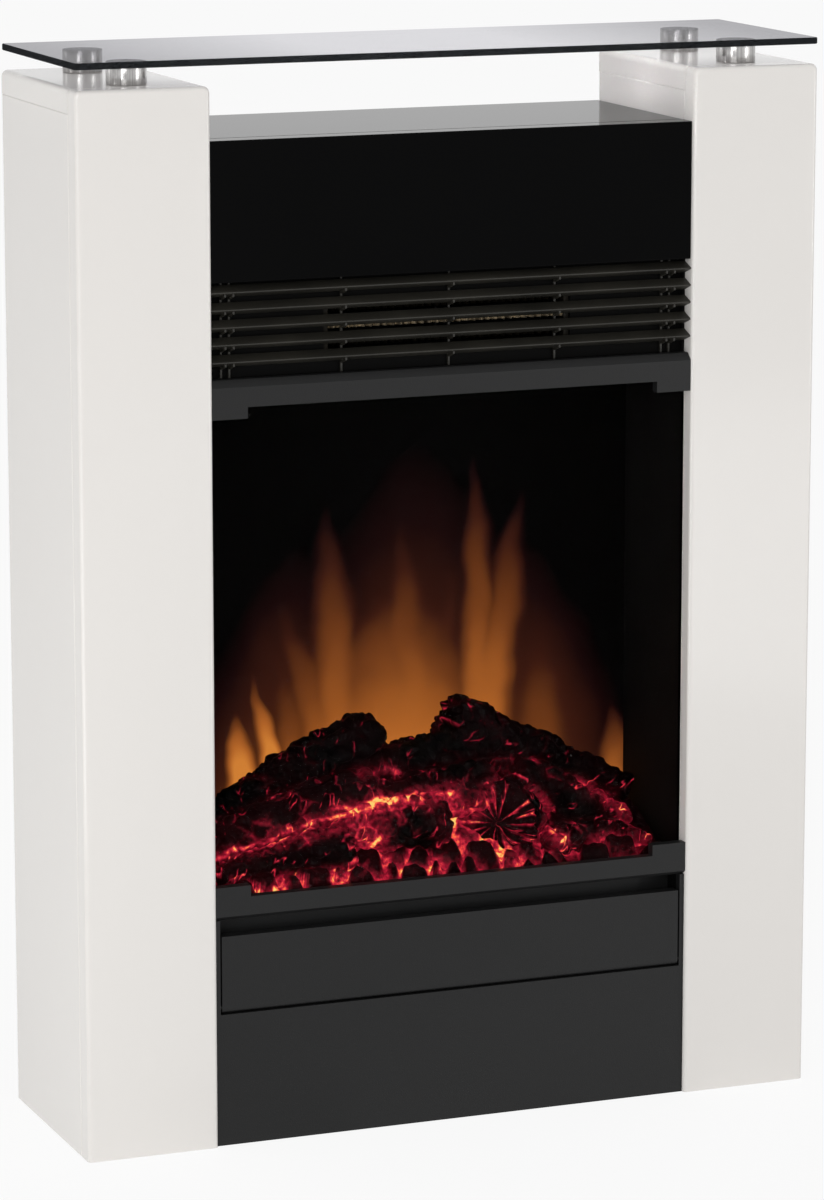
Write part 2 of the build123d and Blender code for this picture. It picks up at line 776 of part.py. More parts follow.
with BuildPart() as spindle_motor:
    with BuildSketch(Plane.YZ.offset(motor_face)):
        with Locations((spindle_y, spindle_z)):
            Circle(spindle_motor_radius)
    extrude(amount=spindle_motor_length)
    with BuildSketch(Plane.YZ.offset(motor_face)):
        with Locations((spindle_y, spindle_z)):
            Circle(spindle_diameter / 2 + running_clearance)
    extrude(amount=spindle_seat + spindle_end_gap, mode=Mode.SUBTRACT)
write(spindle_motor, "spindle_motor")

# Ember bed: a hollow translucent mound with coals along its front, and the logs that lie on it
bed_half = inner_half - bed_gap
bed_front = chassis_front + bed_gap
bed_back = screen_front - bed_gap
bed_depth = bed_back - bed_front
bed_slope = math.atan2(bed_back_height - bed_front_height, bed_depth)

with BuildPart() as mound:
    with BuildSketch(Plane.XZ.offset(-bed_back)):
        with BuildLine():
            Polyline(
                (-bed_half, hearth),
                (-bed_half, hearth + bed_side_height),
                (-bed_crown_half, hearth + bed_back_height),
                (bed_crown_half, hearth + bed_back_height),
                (bed_half, hearth + bed_side_height),
                (bed_half, hearth),
                close=True,
            )
        make_face()
    extrude(amount=bed_depth)
    with BuildSketch(Plane.YZ.offset(-bed_half)):
        with BuildLine():
            Polyline(
                (bed_front, hearth + bed_front_height),
                (bed_back, hearth + bed_back_height),
                (bed_front, hearth + bed_back_height),
                close=True,
            )
        make_face()
    extrude(amount=2 * bed_half, mode=Mode.SUBTRACT)

with BuildPart() as coals:
    for row in range(coal_rows):
        along_slope = coal_radius + row * coal_row_step
        coal_y = bed_front + along_slope * math.cos(bed_slope)
        coal_z = hearth + bed_front_height + along_slope * math.sin(bed_slope)
        for i in range(coals_per_row):
            stagger = coal_stagger * (row - (coal_rows - 1) / 2)
            spread = (i - (coals_per_row - 1) / 2 + stagger) / (coals_per_row / 2)
            coal_plane = Plane(
                origin=(spread * (bed_half - 2 * coal_radius), coal_y, coal_z),
                x_dir=(1, 0, 0),
                z_dir=(0, -math.sin(bed_slope), math.cos(bed_slope)),
            )
            with BuildSketch(coal_plane.offset(-coal_sink)):
                sides = coal_sides[(i + row) % len(coal_sides)]
                RegularPolygon(coal_radius, sides, rotation=coal_turn * (i + row))
            extrude(amount=coal_sink + coal_heights[i % len(coal_heights)], taper=coal_taper)


def log_skin(foot, tip, rings):
    start = Vector(foot[0], bed_front + foot[1], hearth + foot[2])
    run = Vector(tip[0], bed_front + tip[1], hearth + tip[2]) - start
    log_plane = Plane(origin=start, z_dir=run)
    skin = []
    for share, fullness in rings:
        radius = fullness * (foot[3] + share * (tip[3] - foot[3]))
        for k, lobe in enumerate(log_lobes):
            angle = 2 * math.pi * k / len(log_lobes)
            spot = (radius * lobe * math.cos(angle), radius * lobe * math.sin(angle), share * run.length)
            skin.append(log_plane.from_local_coords(spot))
    return skin


with BuildPart() as branches:
    for foot, tip in (
        (left_branch_foot, left_branch_tip),
        (middle_branch_foot, middle_branch_tip),
        (right_branch_foot, right_branch_tip),
        (low_branch_foot, low_branch_tip),
    ):
        ConvexPolyhedron(log_skin(foot, tip, broken_rings))
    add(mound.part, mode=Mode.SUBTRACT)

with BuildPart() as ember_bed:
    add(mound.part)
    offset(amount=-bed_wall, openings=ember_bed.faces().sort_by(Axis.Z)[0], kind=Kind.INTERSECTION)
    add(coals.part)
    add(branches.part)
    with Locations((0, bed_front, hearth)):
        Box(2 * bed_half, bed_depth, ceiling - hearth, align=FRONT_UNDER, mode=Mode.INTERSECT)
write(ember_bed, "ember_bed")

# Logs: lobed lengths of cast wood, each seated on the bed and on the logs laid before it
laid = []
for node, foot, tip, rings in (
    ("cut_log", cut_log_foot, cut_log_tip, sawn_rings),
    ("centre_log", centre_log_foot, centre_log_tip, broken_rings),
    ("front_log", front_log_foot, front_log_tip, broken_rings),
    ("left_log", left_log_foot, left_log_tip, broken_rings),
    ("right_log", right_log_foot, right_log_tip, sawn_rings),
    ("rear_log", rear_log_foot, rear_log_tip, broken_rings),
):
    with BuildPart() as log:
        ConvexPolyhedron(log_skin(foot, tip, rings))
        with Locations((0, bed_front, hearth)):
            Box(2 * bed_half, bed_depth, ceiling - hearth, align=FRONT_UNDER, mode=Mode.INTERSECT)
        for lower in (mound.part, coals.part, branches.part, *laid):
            add(lower, mode=Mode.SUBTRACT)
    laid.append(log.part)
    write(log, node)

# Light boards: one under the ember bed, one below the flame template
for node, board_y, board_width in (
    ("ember_light_board", (bed_front + bed_back) / 2, ember_board_width),
    ("flame_light_board", mask_back + flame_board_width / 2 + loose_clearance, flame_board_width),
):
    board_half = bed_half - light_board_margin
    light_pitch = 2 * board_half / light_count
    with BuildPart() as light_board:
        with Locations((0, board_y - board_width / 2, hearth)):
            Box(2 * board_half, board_width, light_board_sheet, align=FRONT_UNDER)
        with BuildSketch(Plane.XY.offset(hearth + light_board_sheet)):
            with Locations((0, board_y)):
                with GridLocations(light_pitch, light_pitch, light_count, 1):
                    Rectangle(light_width, light_width)
        extrude(amount=light_height)
    write(light_board, node)

# Base panel: the folded plinth with a narrow jamb up each side of the flap
hinge_y = centre_front + flap_curl
hinge_z = flap_bottom + flap_curl
with BuildPart() as base_panel:
    with BuildSketch(Plane.XZ.offset(-centre_front - flap_sheet)):
        with BuildLine():
            Polyline(
                (-centre_half, 0),
                (centre_half, 0),
                (centre_half, lower_trim_bottom),
                (centre_half - jamb_width, lower_trim_bottom),
                (centre_half - jamb_width, plinth_height),
                (jamb_width - centre_half, plinth_height),
                (jamb_width - centre_half, lower_trim_bottom),
                (-centre_half, lower_trim_bottom),
                close=True,
            )
        make_face()
    extrude(amount=flap_sheet)
    for side, hand in SIDES:
        with Locations((side * (centre_half - chassis_sheet / 2), centre_front, 0)):
            Box(chassis_sheet, chassis_front - centre_front, lower_trim_bottom, align=FRONT_UNDER)
    with Locations((0, centre_front, plinth_height - chassis_sheet)):
        Box(2 * inner_half, panel_back - centre_front + chassis_sheet, chassis_sheet, align=FRONT_UNDER)
    with BuildSketch(Plane.YZ.offset(-centre_half)):
        with Locations((hinge_y, hinge_z)):
            Circle(pin_diameter / 2 + running_clearance)
    extrude(amount=2 * centre_half, mode=Mode.SUBTRACT)
write(base_panel, "base_panel")

# Control panel behind the flap, with rocker switches and the thermostat
pivot_y = panel_front + rocker_pivot_setback
control_level = (plinth_height + lower_trim_bottom) / 2
rocker_places = [inner_half - rocker_from_side - i * rocker_pitch for i in range(rocker_count)]
knob_x = inner_half - knob_from_side
swing = math.hypot(rocker_half_height, rocker_shoulder)
swing_angle = math.atan2(rocker_half_height, rocker_shoulder) + math.radians(rocker_tilt)
well_half_height = swing * math.sin(min(swing_angle, math.pi / 2)) + rocker_gap
well_half_width = rocker_width / 2 + rocker_gap
switch_half_height = well_half_height + switch_wall
switch_half_width = well_half_width + switch_wall
bush_radius = stem_diameter / 2 + switch_wall
with BuildPart() as control_panel:
    with Locations((0, panel_front, plinth_height)):
        Box(2 * inner_half, panel_sheet, lower_trim_bottom - plinth_height, align=FRONT_UNDER)
    with BuildSketch(Plane.XZ.offset(-panel_back)):
        with Locations(*[(x, control_level) for x in rocker_places]):
            Rectangle(
                2 * (switch_half_width + running_clearance), 2 * (switch_half_height + running_clearance)
            )
        with Locations((knob_x, control_level)):
            Circle(bush_radius + running_clearance)
    extrude(amount=panel_sheet, mode=Mode.SUBTRACT)
write(control_panel, "control_panel")

well_depth = rocker_pivot_setback + swing + rocker_gap
with BuildPart() as switch_bodies:
    for rocker_x in rocker_places:
        with BuildSketch(Plane.XZ.offset(-panel_front - switch_depth)):
            with Locations((rocker_x, control_level)):
                Rectangle(2 * switch_half_width, 2 * switch_half_height)
        extrude(amount=switch_depth)
        with BuildSketch(Plane.XZ.offset(-panel_front)):
            with Locations((rocker_x, control_level)):
                Rectangle(2 * (switch_half_width + bezel_lip), 2 * (switch_half_height + bezel_lip))
        extrude(amount=bezel_thickness)
        with BuildSketch(Plane.XZ.offset(-panel_front + bezel_thickness)):
            with Locations((rocker_x, control_level)):
                Rectangle(2 * well_half_width, 2 * well_half_height)
        extrude(amount=-bezel_thickness - well_depth, mode=Mode.SUBTRACT)
        with BuildSketch(Plane.YZ.offset(rocker_x - switch_half_width)):
            with Locations((pivot_y, control_level)):
                Circle(rocker_pin_diameter / 2 + running_clearance)
        extrude(amount=2 * switch_half_width, mode=Mode.SUBTRACT)
write(switch_bodies, "switch_bodies")

tilt = math.radians(rocker_tilt)
for rocker_x, node in zip(rocker_places, ("high_heat_rocker", "low_heat_rocker", "flame_rocker")):
    rocker_plane = Plane(
        origin=(rocker_x, pivot_y, control_level),
        x_dir=(0, math.cos(tilt), math.sin(tilt)),
        z_dir=(1, 0, 0),
    )
    with BuildPart() as rocker:
        with BuildSketch(rocker_plane):
            with BuildLine():
                Polyline(
                    (-rocker_shoulder, -rocker_half_height),
                    (-rocker_crown, 0),
                    (-rocker_shoulder, rocker_half_height),
                    (rocker_root, rocker_root_half),
                    (rocker_root, -rocker_root_half),
                    close=True,
                )
            make_face()
        extrude(amount=rocker_width / 2, both=True)
        with BuildSketch(rocker_plane):
            Circle(rocker_pin_diameter / 2)
        extrude(amount=switch_half_width - rocker_gap, both=True)
    write(rocker, node)

with BuildPart() as thermostat:
    with BuildSketch(Plane.XZ.offset(-panel_back)):
        with Locations((knob_x, control_level)):
            Rectangle(thermostat_width, thermostat_width)
    extrude(amount=-thermostat_depth)
    with BuildSketch(Plane.XZ.offset(-panel_back)):
        with Locations((knob_x, control_level)):
            Circle(bush_radius)
    extrude(amount=panel_sheet)
    with BuildSketch(Plane.XZ.offset(-panel_front)):
        with Locations((knob_x, control_level)):
            Circle(stem_diameter / 2 + running_clearance)
    extrude(amount=-stem_length - knob_gap, mode=Mode.SUBTRACT)
write(thermostat, "thermostat")

knob_back = panel_front - knob_gap
with BuildPart() as thermostat_knob:
    with BuildSketch(Plane.XZ.offset(-knob_back)):
        with Locations((knob_x, control_level)):
            Circle(knob_diameter / 2)
    extrude(amount=knob_length - knob_grip_height)
    with BuildSketch(Plane.XZ.offset(-knob_back + knob_length - knob_grip_height)):
        with Locations((knob_x, control_level)):
            SlotOverall(knob_diameter - knob_grip_height, knob_grip_width, rotation=90)
    extrude(amount=knob_grip_height)
    with BuildSketch(Plane.XZ.offset(-knob_back)):
        with Locations((knob_x, control_level)):
            Circle(stem_diameter / 2)
    extrude(amount=-stem_length)
write(thermostat_knob, "thermostat_knob")

# Control flap: folded sheet, curled round its hinge line, turning on a pin at each end
flap_half = centre_half - jamb_width - flap_side_gap
with BuildPart() as control_flap:
    with BuildSketch(Plane.YZ):
        with BuildLine():
            Polyline(
                (hinge_y - flap_curl + flap_sheet, hinge_z),
                (centre_front + flap_sheet, flap_top - flap_sheet),
                (centre_front + flap_flange, flap_top - flap_sheet),
                (centre_front + flap_flange, flap_top),
                (centre_front, flap_top),
                (centre_front, hinge_z),
            )
            outside = CenterArc((hinge_y, hinge_z), flap_curl, 180, 90)
            inside = CenterArc((hinge_y, hinge_z), flap_curl - flap_sheet, 270, -90)
            Line(outside @ 1, inside @ 0)
        make_face()
    extrude(amount=flap_half, both=True)
    for side, hand in SIDES:
        with BuildSketch(Plane.YZ.offset(side * flap_half)):
            with Locations((centre_front + flap_flange / 2, (hinge_z + flap_top) / 2)):
                Rectangle(flap_flange, flap_top - hinge_z)
            with Locations((hinge_y, hinge_z)):
                Circle(flap_curl)
                Circle(pin_diameter / 2 + running_clearance, mode=Mode.SUBTRACT)
        extrude(amount=-side * flap_sheet)
write(control_flap, "control_flap")

with BuildPart() as flap_pins:
    for side, hand in SIDES:
        with BuildSketch(Plane.YZ.offset(side * (flap_half - pin_grip))):
            with Locations((hinge_y, hinge_z)):
                Circle(pin_diameter / 2)
        extrude(amount=side * (centre_half - pin_end_gap - flap_half + pin_grip))
write(flap_pins, "flap_pins")
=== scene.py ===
import math

import bmesh
import bpy
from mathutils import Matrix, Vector, noise


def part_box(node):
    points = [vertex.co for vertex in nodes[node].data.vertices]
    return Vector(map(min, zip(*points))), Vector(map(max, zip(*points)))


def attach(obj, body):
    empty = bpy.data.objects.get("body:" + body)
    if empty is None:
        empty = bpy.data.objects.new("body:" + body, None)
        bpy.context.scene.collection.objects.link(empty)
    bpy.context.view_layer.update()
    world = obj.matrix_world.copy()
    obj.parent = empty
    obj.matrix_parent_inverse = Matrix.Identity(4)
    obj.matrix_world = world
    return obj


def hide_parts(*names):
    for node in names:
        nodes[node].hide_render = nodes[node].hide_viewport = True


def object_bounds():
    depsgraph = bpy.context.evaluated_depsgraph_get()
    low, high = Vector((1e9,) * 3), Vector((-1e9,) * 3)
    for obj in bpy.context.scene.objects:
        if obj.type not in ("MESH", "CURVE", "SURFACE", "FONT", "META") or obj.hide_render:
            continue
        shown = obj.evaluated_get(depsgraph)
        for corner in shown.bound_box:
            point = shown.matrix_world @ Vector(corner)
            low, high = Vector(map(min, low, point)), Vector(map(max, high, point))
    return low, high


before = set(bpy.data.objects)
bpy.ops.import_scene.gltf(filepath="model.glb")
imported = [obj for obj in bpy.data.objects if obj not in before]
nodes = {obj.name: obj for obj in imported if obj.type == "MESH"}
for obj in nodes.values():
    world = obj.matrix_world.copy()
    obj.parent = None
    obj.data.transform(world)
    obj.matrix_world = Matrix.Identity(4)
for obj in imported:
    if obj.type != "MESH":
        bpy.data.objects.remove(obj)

cad_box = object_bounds()


# Chassis: two folded side plates, a floor and a ceiling make the firebox, with the outlet panel above.
# All are steel sheet in matt black stove paint, screwed together.
def place(tree, kind, links=None, **settings):
    """Adds a node to a tree. Each entry of links is a plain value or the output that feeds that input."""
    made = tree.nodes.new(kind)
    for setting, value in settings.items():
        setattr(made, setting, value)
    for socket, value in (links or {}).items():
        if isinstance(value, bpy.types.NodeSocket):
            tree.links.new(value, made.inputs[socket])
        else:
            made.inputs[socket].default_value = value
    return made


def calculate(tree, operation, first, second=0.0, third=0.0):
    """One arithmetic step on values that change over the surface."""
    return place(tree, "ShaderNodeMath", {0: first, 1: second, 2: third}, operation=operation).outputs[0]


def blend_colours(tree, share, first, second):
    """The colour that lies a given share of the way from the first to the second."""
    return place(tree, "ShaderNodeMix", {0: share, 6: first, 7: second}, data_type="RGBA").outputs[2]


def stretch(tree, value, low, high, new_low=0.0, new_high=1.0):
    """Maps a value from one range to another and holds it at the ends."""
    ends = {"Value": value, "From Min": low, "From Max": high, "To Min": new_low, "To Max": new_high}
    return place(tree, "ShaderNodeMapRange", ends).outputs["Result"]


def start_group(name, inputs, outputs):
    """A shader group with the given sockets, each a name and a kind. Returns its tree, inlet and outlet."""
    group = bpy.data.node_groups.new(name, "ShaderNodeTree")
    for label, kind in inputs.items():
        group.interface.new_socket(label, in_out="INPUT", socket_type="NodeSocket" + kind)
    for label, kind in outputs.items():
        group.interface.new_socket(label, in_out="OUTPUT", socket_type="NodeSocket" + kind)
    return group, group.nodes.new("NodeGroupInput").outputs, group.nodes.new("NodeGroupOutput").inputs


def start_material(name, plain):
    """A material with plain shader values. Returns it, its tree, its shader and the object coordinates."""
    material = bpy.data.materials.new(name)
    material.use_nodes = True
    tree = material.node_tree
    shader = tree.nodes["Principled BSDF"]
    for socket, value in plain.items():
        shader.inputs[socket].default_value = value
    return material, tree, shader, place(tree, "ShaderNodeTexCoord").outputs["Object"]


def raise_relief(tree, shader, height, strength, depth):
    """Feeds a height to the shader's normal as a bump of that depth in metres."""
    bump = place(tree, "ShaderNodeBump", {"Strength": strength, "Distance": depth, "Height": height})
    tree.links.new(bump.outputs["Normal"], shader.inputs["Normal"])


def dress(material, *names):
    """Gives nodes of the frame a finish."""
    for name in names:
        nodes[name].data.materials.clear()
        nodes[name].data.materials.append(material)


# Paint grain: the pebbled skin of a sprayed or moulded surface, and slow patches where it is duller
PAINT_DEPTH = 0.0004
paint_grain, inlet, outlet = start_group(
    "paint_grain",
    {"Vector": "Vector", "Grain Scale": "Float", "Patch Scale": "Float"},
    {"Height": "Float", "Patches": "Float"},
)
pebbles = place(paint_grain, "ShaderNodeTexNoise",
                {"Vector": inlet["Vector"], "Scale": inlet["Grain Scale"], "Detail": 2.0})
clouds = place(paint_grain, "ShaderNodeTexNoise",
               {"Vector": inlet["Vector"], "Scale": inlet["Patch Scale"], "Detail": 3.0})
paint_grain.links.new(pebbles.outputs[0], outlet["Height"])
paint_grain.links.new(stretch(paint_grain, clouds.outputs[0], 0.3, 0.7), outlet["Patches"])


def paint(name, colour, drift, grain, patch, roughness, relief, **plain):
    """A sprayed or moulded finish: colour drifts in patches, roughness runs between two values."""
    material, tree, shader, spot = start_material(name, {key.replace("_", " "): plain[key] for key in plain})
    skin = place(tree, "ShaderNodeGroup", node_tree=paint_grain,
                 links={"Vector": spot, "Grain Scale": grain, "Patch Scale": patch}).outputs
    shade = blend_colours(tree, skin["Patches"], (*colour, 1.0), (*drift, 1.0))
    tree.links.new(shade, shader.inputs["Base Color"])
    tree.links.new(stretch(tree, skin["Patches"], 0.0, 1.0, *roughness), shader.inputs["Roughness"])
    raise_relief(tree, shader, skin["Height"], relief, PAINT_DEPTH)
    return material


stove_paint = paint("stove_paint", (0.0025, 0.0025, 0.0025), (0.004, 0.0038, 0.0036),
                    grain=900.0, patch=14.0, roughness=(0.62, 0.78), relief=0.25, Specular_IOR_Level=0.05)
dress(stove_paint, "chassis_left", "chassis_right", "firebox_floor", "firebox_ceiling", "outlet_panel")


# Rear panel: hot-dip galvanised sheet, left bare, with the crystals that zinc grows as it cools.
# It is pressed and punched with vents and screwed to the side plates.
CRYSTALS_PER_METRE = 85.0
CRYSTAL_DEPTH = 0.0003
zinc, tree, shader, spot = start_material("galvanised_sheet", {"Metallic": 1.0})
crystals = place(tree, "ShaderNodeTexVoronoi",
                 {"Vector": spot, "Scale": CRYSTALS_PER_METRE, "Randomness": 1.0})
crystal_shade = place(tree, "ShaderNodeSeparateColor", {"Color": crystals.outputs["Color"]}).outputs[0]
tree.links.new(blend_colours(tree, crystal_shade, (0.40, 0.42, 0.43, 1.0), (0.60, 0.62, 0.62, 1.0)),
               shader.inputs["Base Color"])
tree.links.new(stretch(tree, crystal_shade, 0.0, 1.0, 0.30, 0.52), shader.inputs["Roughness"])
raise_relief(tree, shader, crystals.outputs["Distance"], 0.08, CRYSTAL_DEPTH)
dress(zinc, "rear_panel")


# Screws and hinge pins: zinc-plated steel, cold-headed, with faint turning marks round their heads.
# Brushed streaks are shared by every bare metal piece, at each piece's own scale.
STREAK_DEPTH = 0.0002
brushing, inlet, outlet = start_group(
    "brushing", {"Vector": "Vector", "Streaks": "Vector"}, {"Streak": "Float", "Height": "Float"}
)
pulled = place(brushing, "ShaderNodeVectorMath", {0: inlet["Vector"], 1: inlet["Streaks"]},
               operation="MULTIPLY").outputs[0]
hairlines = place(brushing, "ShaderNodeTexNoise", {"Vector": pulled, "Scale": 1.0, "Detail": 4.0})
brushing.links.new(stretch(brushing, hairlines.outputs[0], 0.3, 0.7), outlet["Streak"])
brushing.links.new(hairlines.outputs[0], outlet["Height"])


def bare_metal(name, dark, light, streaks, roughness, relief):
    """A bare metal with streaks; streaks gives how many of them there are per metre along X, Y and Z."""
    material, tree, shader, spot = start_material(name, {"Metallic": 1.0})
    marks = place(tree, "ShaderNodeGroup", node_tree=brushing,
                  links={"Vector": spot, "Streaks": streaks}).outputs
    shade = blend_colours(tree, marks["Streak"], (*dark, 1.0), (*light, 1.0))
    tree.links.new(shade, shader.inputs["Base Color"])
    tree.links.new(stretch(tree, marks["Streak"], 0.0, 1.0, *roughness), shader.inputs["Roughness"])
    raise_relief(tree, shader, marks["Height"], relief, STREAK_DEPTH)
    return material


screw_steel = bare_metal("screw_steel", (0.45, 0.45, 0.43), (0.62, 0.61, 0.57),
                         streaks=(900.0, 900.0, 900.0), roughness=(0.22, 0.36), relief=0.15)
dress(screw_steel, "assembly_screws", "flap_pins")


# Fan heater: a black anodised cross-flow rotor on a laminated shaded-pole motor blows through the heater.
# Pleated heating ribbons are strung in slots of a mica frame, under a snap-disc thermal cut-out, and the
# casing round the rotor is galvanised sheet that the heat has browned.
heated_zinc = bare_metal("heated_zinc", (0.012, 0.011, 0.010), (0.030, 0.028, 0.024),
                         streaks=(120.0, 120.0, 120.0), roughness=(0.55, 0.75), relief=0.2)
dress(heated_zinc, "blower_casing")

anodised_black = bare_metal("anodised_black", (0.010, 0.010, 0.010), (0.024, 0.024, 0.025),
                            streaks=(30.0, 700.0, 700.0), roughness=(0.40, 0.55), relief=0.1)
dress(anodised_black, "blower_rotor")

motor_steel = bare_metal("motor_steel", (0.16, 0.16, 0.17), (0.34, 0.34, 0.35),
                         streaks=(1400.0, 40.0, 40.0), roughness=(0.35, 0.55), relief=0.4)
dress(motor_steel, "blower_motor", "spindle_motor")

# The middle ribbon is used most and stays bright, while the other two are dulled by oxide
BRIGHT_REACH = 0.004
DULL_REACH = 0.008
ribbon_low, ribbon_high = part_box("heating_ribbons")
ribbon_middle = (ribbon_low.z + ribbon_high.z) / 2.0
heating_alloy, tree, shader, spot = start_material("heating_alloy", {"Metallic": 1.0})
marks = place(tree, "ShaderNodeGroup", node_tree=brushing,
              links={"Vector": spot, "Streaks": (420.0, 60.0, 60.0)}).outputs
height = place(tree, "ShaderNodeSeparateXYZ", {0: spot}).outputs["Z"]
off_middle = calculate(tree, "ABSOLUTE", calculate(tree, "SUBTRACT", height, ribbon_middle))
oxide = stretch(tree, off_middle, BRIGHT_REACH, DULL_REACH)
clean = blend_colours(tree, marks["Streak"], (0.012, 0.010, 0.008, 1.0), (0.78, 0.68, 0.52, 1.0))
dulled = blend_colours(tree, marks["Streak"], (0.004, 0.0035, 0.003, 1.0), (0.050, 0.042, 0.030, 1.0))
tree.links.new(blend_colours(tree, oxide, clean, dulled), shader.inputs["Base Color"])
tree.links.new(stretch(tree, marks["Streak"], 0.0, 1.0, 0.45, 0.30), shader.inputs["Roughness"])
raise_relief(tree, shader, marks["Height"], 0.2, STREAK_DEPTH)
dress(heating_alloy, "heating_ribbons")

mica = paint("mica_board", (0.010, 0.0085, 0.006), (0.022, 0.018, 0.012),
             grain=420.0, patch=120.0, roughness=(0.45, 0.7), relief=0.3, Specular_IOR_Level=0.15)
dress(mica, "heater_frame")

ceramic = paint("moulded_white", (0.66, 0.64, 0.58), (0.72, 0.70, 0.65),
                grain=1200.0, patch=60.0, roughness=(0.4, 0.55), relief=0.15)
dress(ceramic, "thermal_cutout", "spindle_bearing")


# Flame works: lamps on two circuit boards shine through a foil template past the turning spindle.
# The boards are green laminate with tinned tracks, the template is mirror film on card, and the spindle's
# vanes are bright aluminium strip.
TRACKS_PER_METRE = 90.0
TRACK_DEPTH = 0.0001
board, tree, shader, spot = start_material("circuit_board", {"Specular IOR Level": 0.4})
tracks = place(tree, "ShaderNodeTexBrick",
               {"Vector": spot, "Scale": TRACKS_PER_METRE, "Mortar Size": 0.03,
                "Color1": (0.012, 0.075, 0.03, 1.0), "Color2": (0.015, 0.09, 0.036, 1.0),
                "Mortar": (0.05, 0.16, 0.07, 1.0)})
tree.links.new(tracks.outputs["Color"], shader.inputs["Base Color"])
tree.links.new(stretch(tree, tracks.outputs["Fac"], 0.0, 1.0, 0.3, 0.45), shader.inputs["Roughness"])
raise_relief(tree, shader, tracks.outputs["Fac"], 0.2, TRACK_DEPTH)
dress(board, "ember_light_board", "flame_light_board")

mirror_film = bare_metal("mirror_film", (0.70, 0.70, 0.71), (0.80, 0.80, 0.80),
                         streaks=(9.0, 9.0, 14.0), roughness=(0.08, 0.2), relief=0.05)
dress(mirror_film, "flame_mask")

spindle_metal = bare_metal("spindle_metal", (0.58, 0.59, 0.60), (0.74, 0.75, 0.76),
                           streaks=(30.0, 700.0, 700.0), roughness=(0.24, 0.38), relief=0.1)
dress(spindle_metal, "flame_spindle")


# Flame screen: a smoked diffuser sheet behind the logs that the flames are thrown on from the back.
# The flames are painted on the sheet as a glow, in place of the light that the lamps throw through the
# template.
# Each tongue of flame swells from the log line, leans over and thins out to its tip.
LEAN_CURVE = 1.4
FOOT_WIDTH = 0.62
BELLY_SWELL = 1.0
TIP_TAPER = 0.90
TIP_FADE = 0.70
LEAST_WIDTH = 0.0005
tongue, inlet, outlet = start_group(
    "flame_tongue",
    {"Vector": "Vector", "Root": "Float", "Foot": "Float", "Height": "Float", "Width": "Float",
     "Lean": "Float"},
    {"Glow": "Float"},
)
point = place(tongue, "ShaderNodeSeparateXYZ", {0: inlet["Vector"]}).outputs
above = calculate(tongue, "SUBTRACT", point["Z"], inlet["Foot"])
rise = place(tongue, "ShaderNodeClamp", {0: calculate(tongue, "DIVIDE", above, inlet["Height"])}).outputs[0]
left_over = calculate(tongue, "SUBTRACT", 1.0, rise)
bend = calculate(tongue, "MULTIPLY", inlet["Lean"], calculate(tongue, "POWER", rise, LEAN_CURVE))
middle = calculate(tongue, "ADD", inlet["Root"], bend)
aside = calculate(tongue, "ABSOLUTE", calculate(tongue, "SUBTRACT", point["X"], middle))
belly = calculate(tongue, "MULTIPLY_ADD", rise, BELLY_SWELL, FOOT_WIDTH)
taper = calculate(tongue, "MULTIPLY", belly, calculate(tongue, "POWER", left_over, TIP_TAPER))
half_width = calculate(tongue, "MULTIPLY_ADD", inlet["Width"], taper, LEAST_WIDTH)
nearness = calculate(tongue, "DIVIDE", aside, half_width)
body = place(tongue, "ShaderNodeMapRange", {"Value": nearness, "From Min": 1.0, "From Max": 0.0},
             interpolation_type="SMOOTHERSTEP").outputs["Result"]
fade = calculate(tongue, "POWER", left_over, TIP_FADE)
tongue.links.new(calculate(tongue, "MULTIPLY", body, fade), outlet["Glow"])

# Each flame: where it stands across the screen, its foot, height, half width, lean, and how bright it is
FLAMES = (
    (-0.129, 0.222, 0.098, 0.034, -0.012, 1.75),
    (-0.102, 0.222, 0.126, 0.031, -0.027, 1.75),
    (-0.084, 0.215, 0.160, 0.056, -0.022, 0.94),
    (-0.055, 0.230, 0.170, 0.068, -0.048, 1.00),
    (-0.050, 0.235, 0.240, 0.070, -0.010, 0.98),
    (-0.022, 0.265, 0.090, 0.011, -0.001, 1.15),
    (0.012, 0.240, 0.225, 0.068, -0.012, 0.97),
    (0.038, 0.245, 0.200, 0.038, 0.001, 0.68),
    (0.067, 0.250, 0.255, 0.052, -0.004, 0.99),
    (0.072, 0.250, 0.222, 0.060, 0.030, 1.02),
    (0.118, 0.205, 0.165, 0.080, 0.004, 0.84),
    (0.188, 0.205, 0.092, 0.046, -0.010, 1.02),
    (0.000, 0.215, 0.205, 0.225, 0.000, 1.18),
    (0.004, 0.190, 0.340, 0.260, 0.012, 0.53),
    (-0.110, 0.200, 0.250, 0.180, 0.030, 0.54),
    (0.115, 0.200, 0.250, 0.180, -0.020, 0.52),
)
FLICKER_REACH = (0.022, 0.0, 0.03)
FLICKER_SCALE = 16.0
FLAME_MELT = 0.12
DARK_LEVEL = 0.095


def colour_ramp(tree, value, coldest, hottest, steps):
    """The colour of a heat between the coldest and the hottest; each step is a share and its colour."""
    ramp = place(tree, "ShaderNodeValToRGB", {"Fac": value})
    ramp.color_ramp.elements[0].color = (*coldest, 1.0)
    ramp.color_ramp.elements[1].color = (*hottest, 1.0)
    for share, colour in steps:
        ramp.color_ramp.elements.new(share).color = (*colour, 1.0)
    return ramp.outputs["Color"]


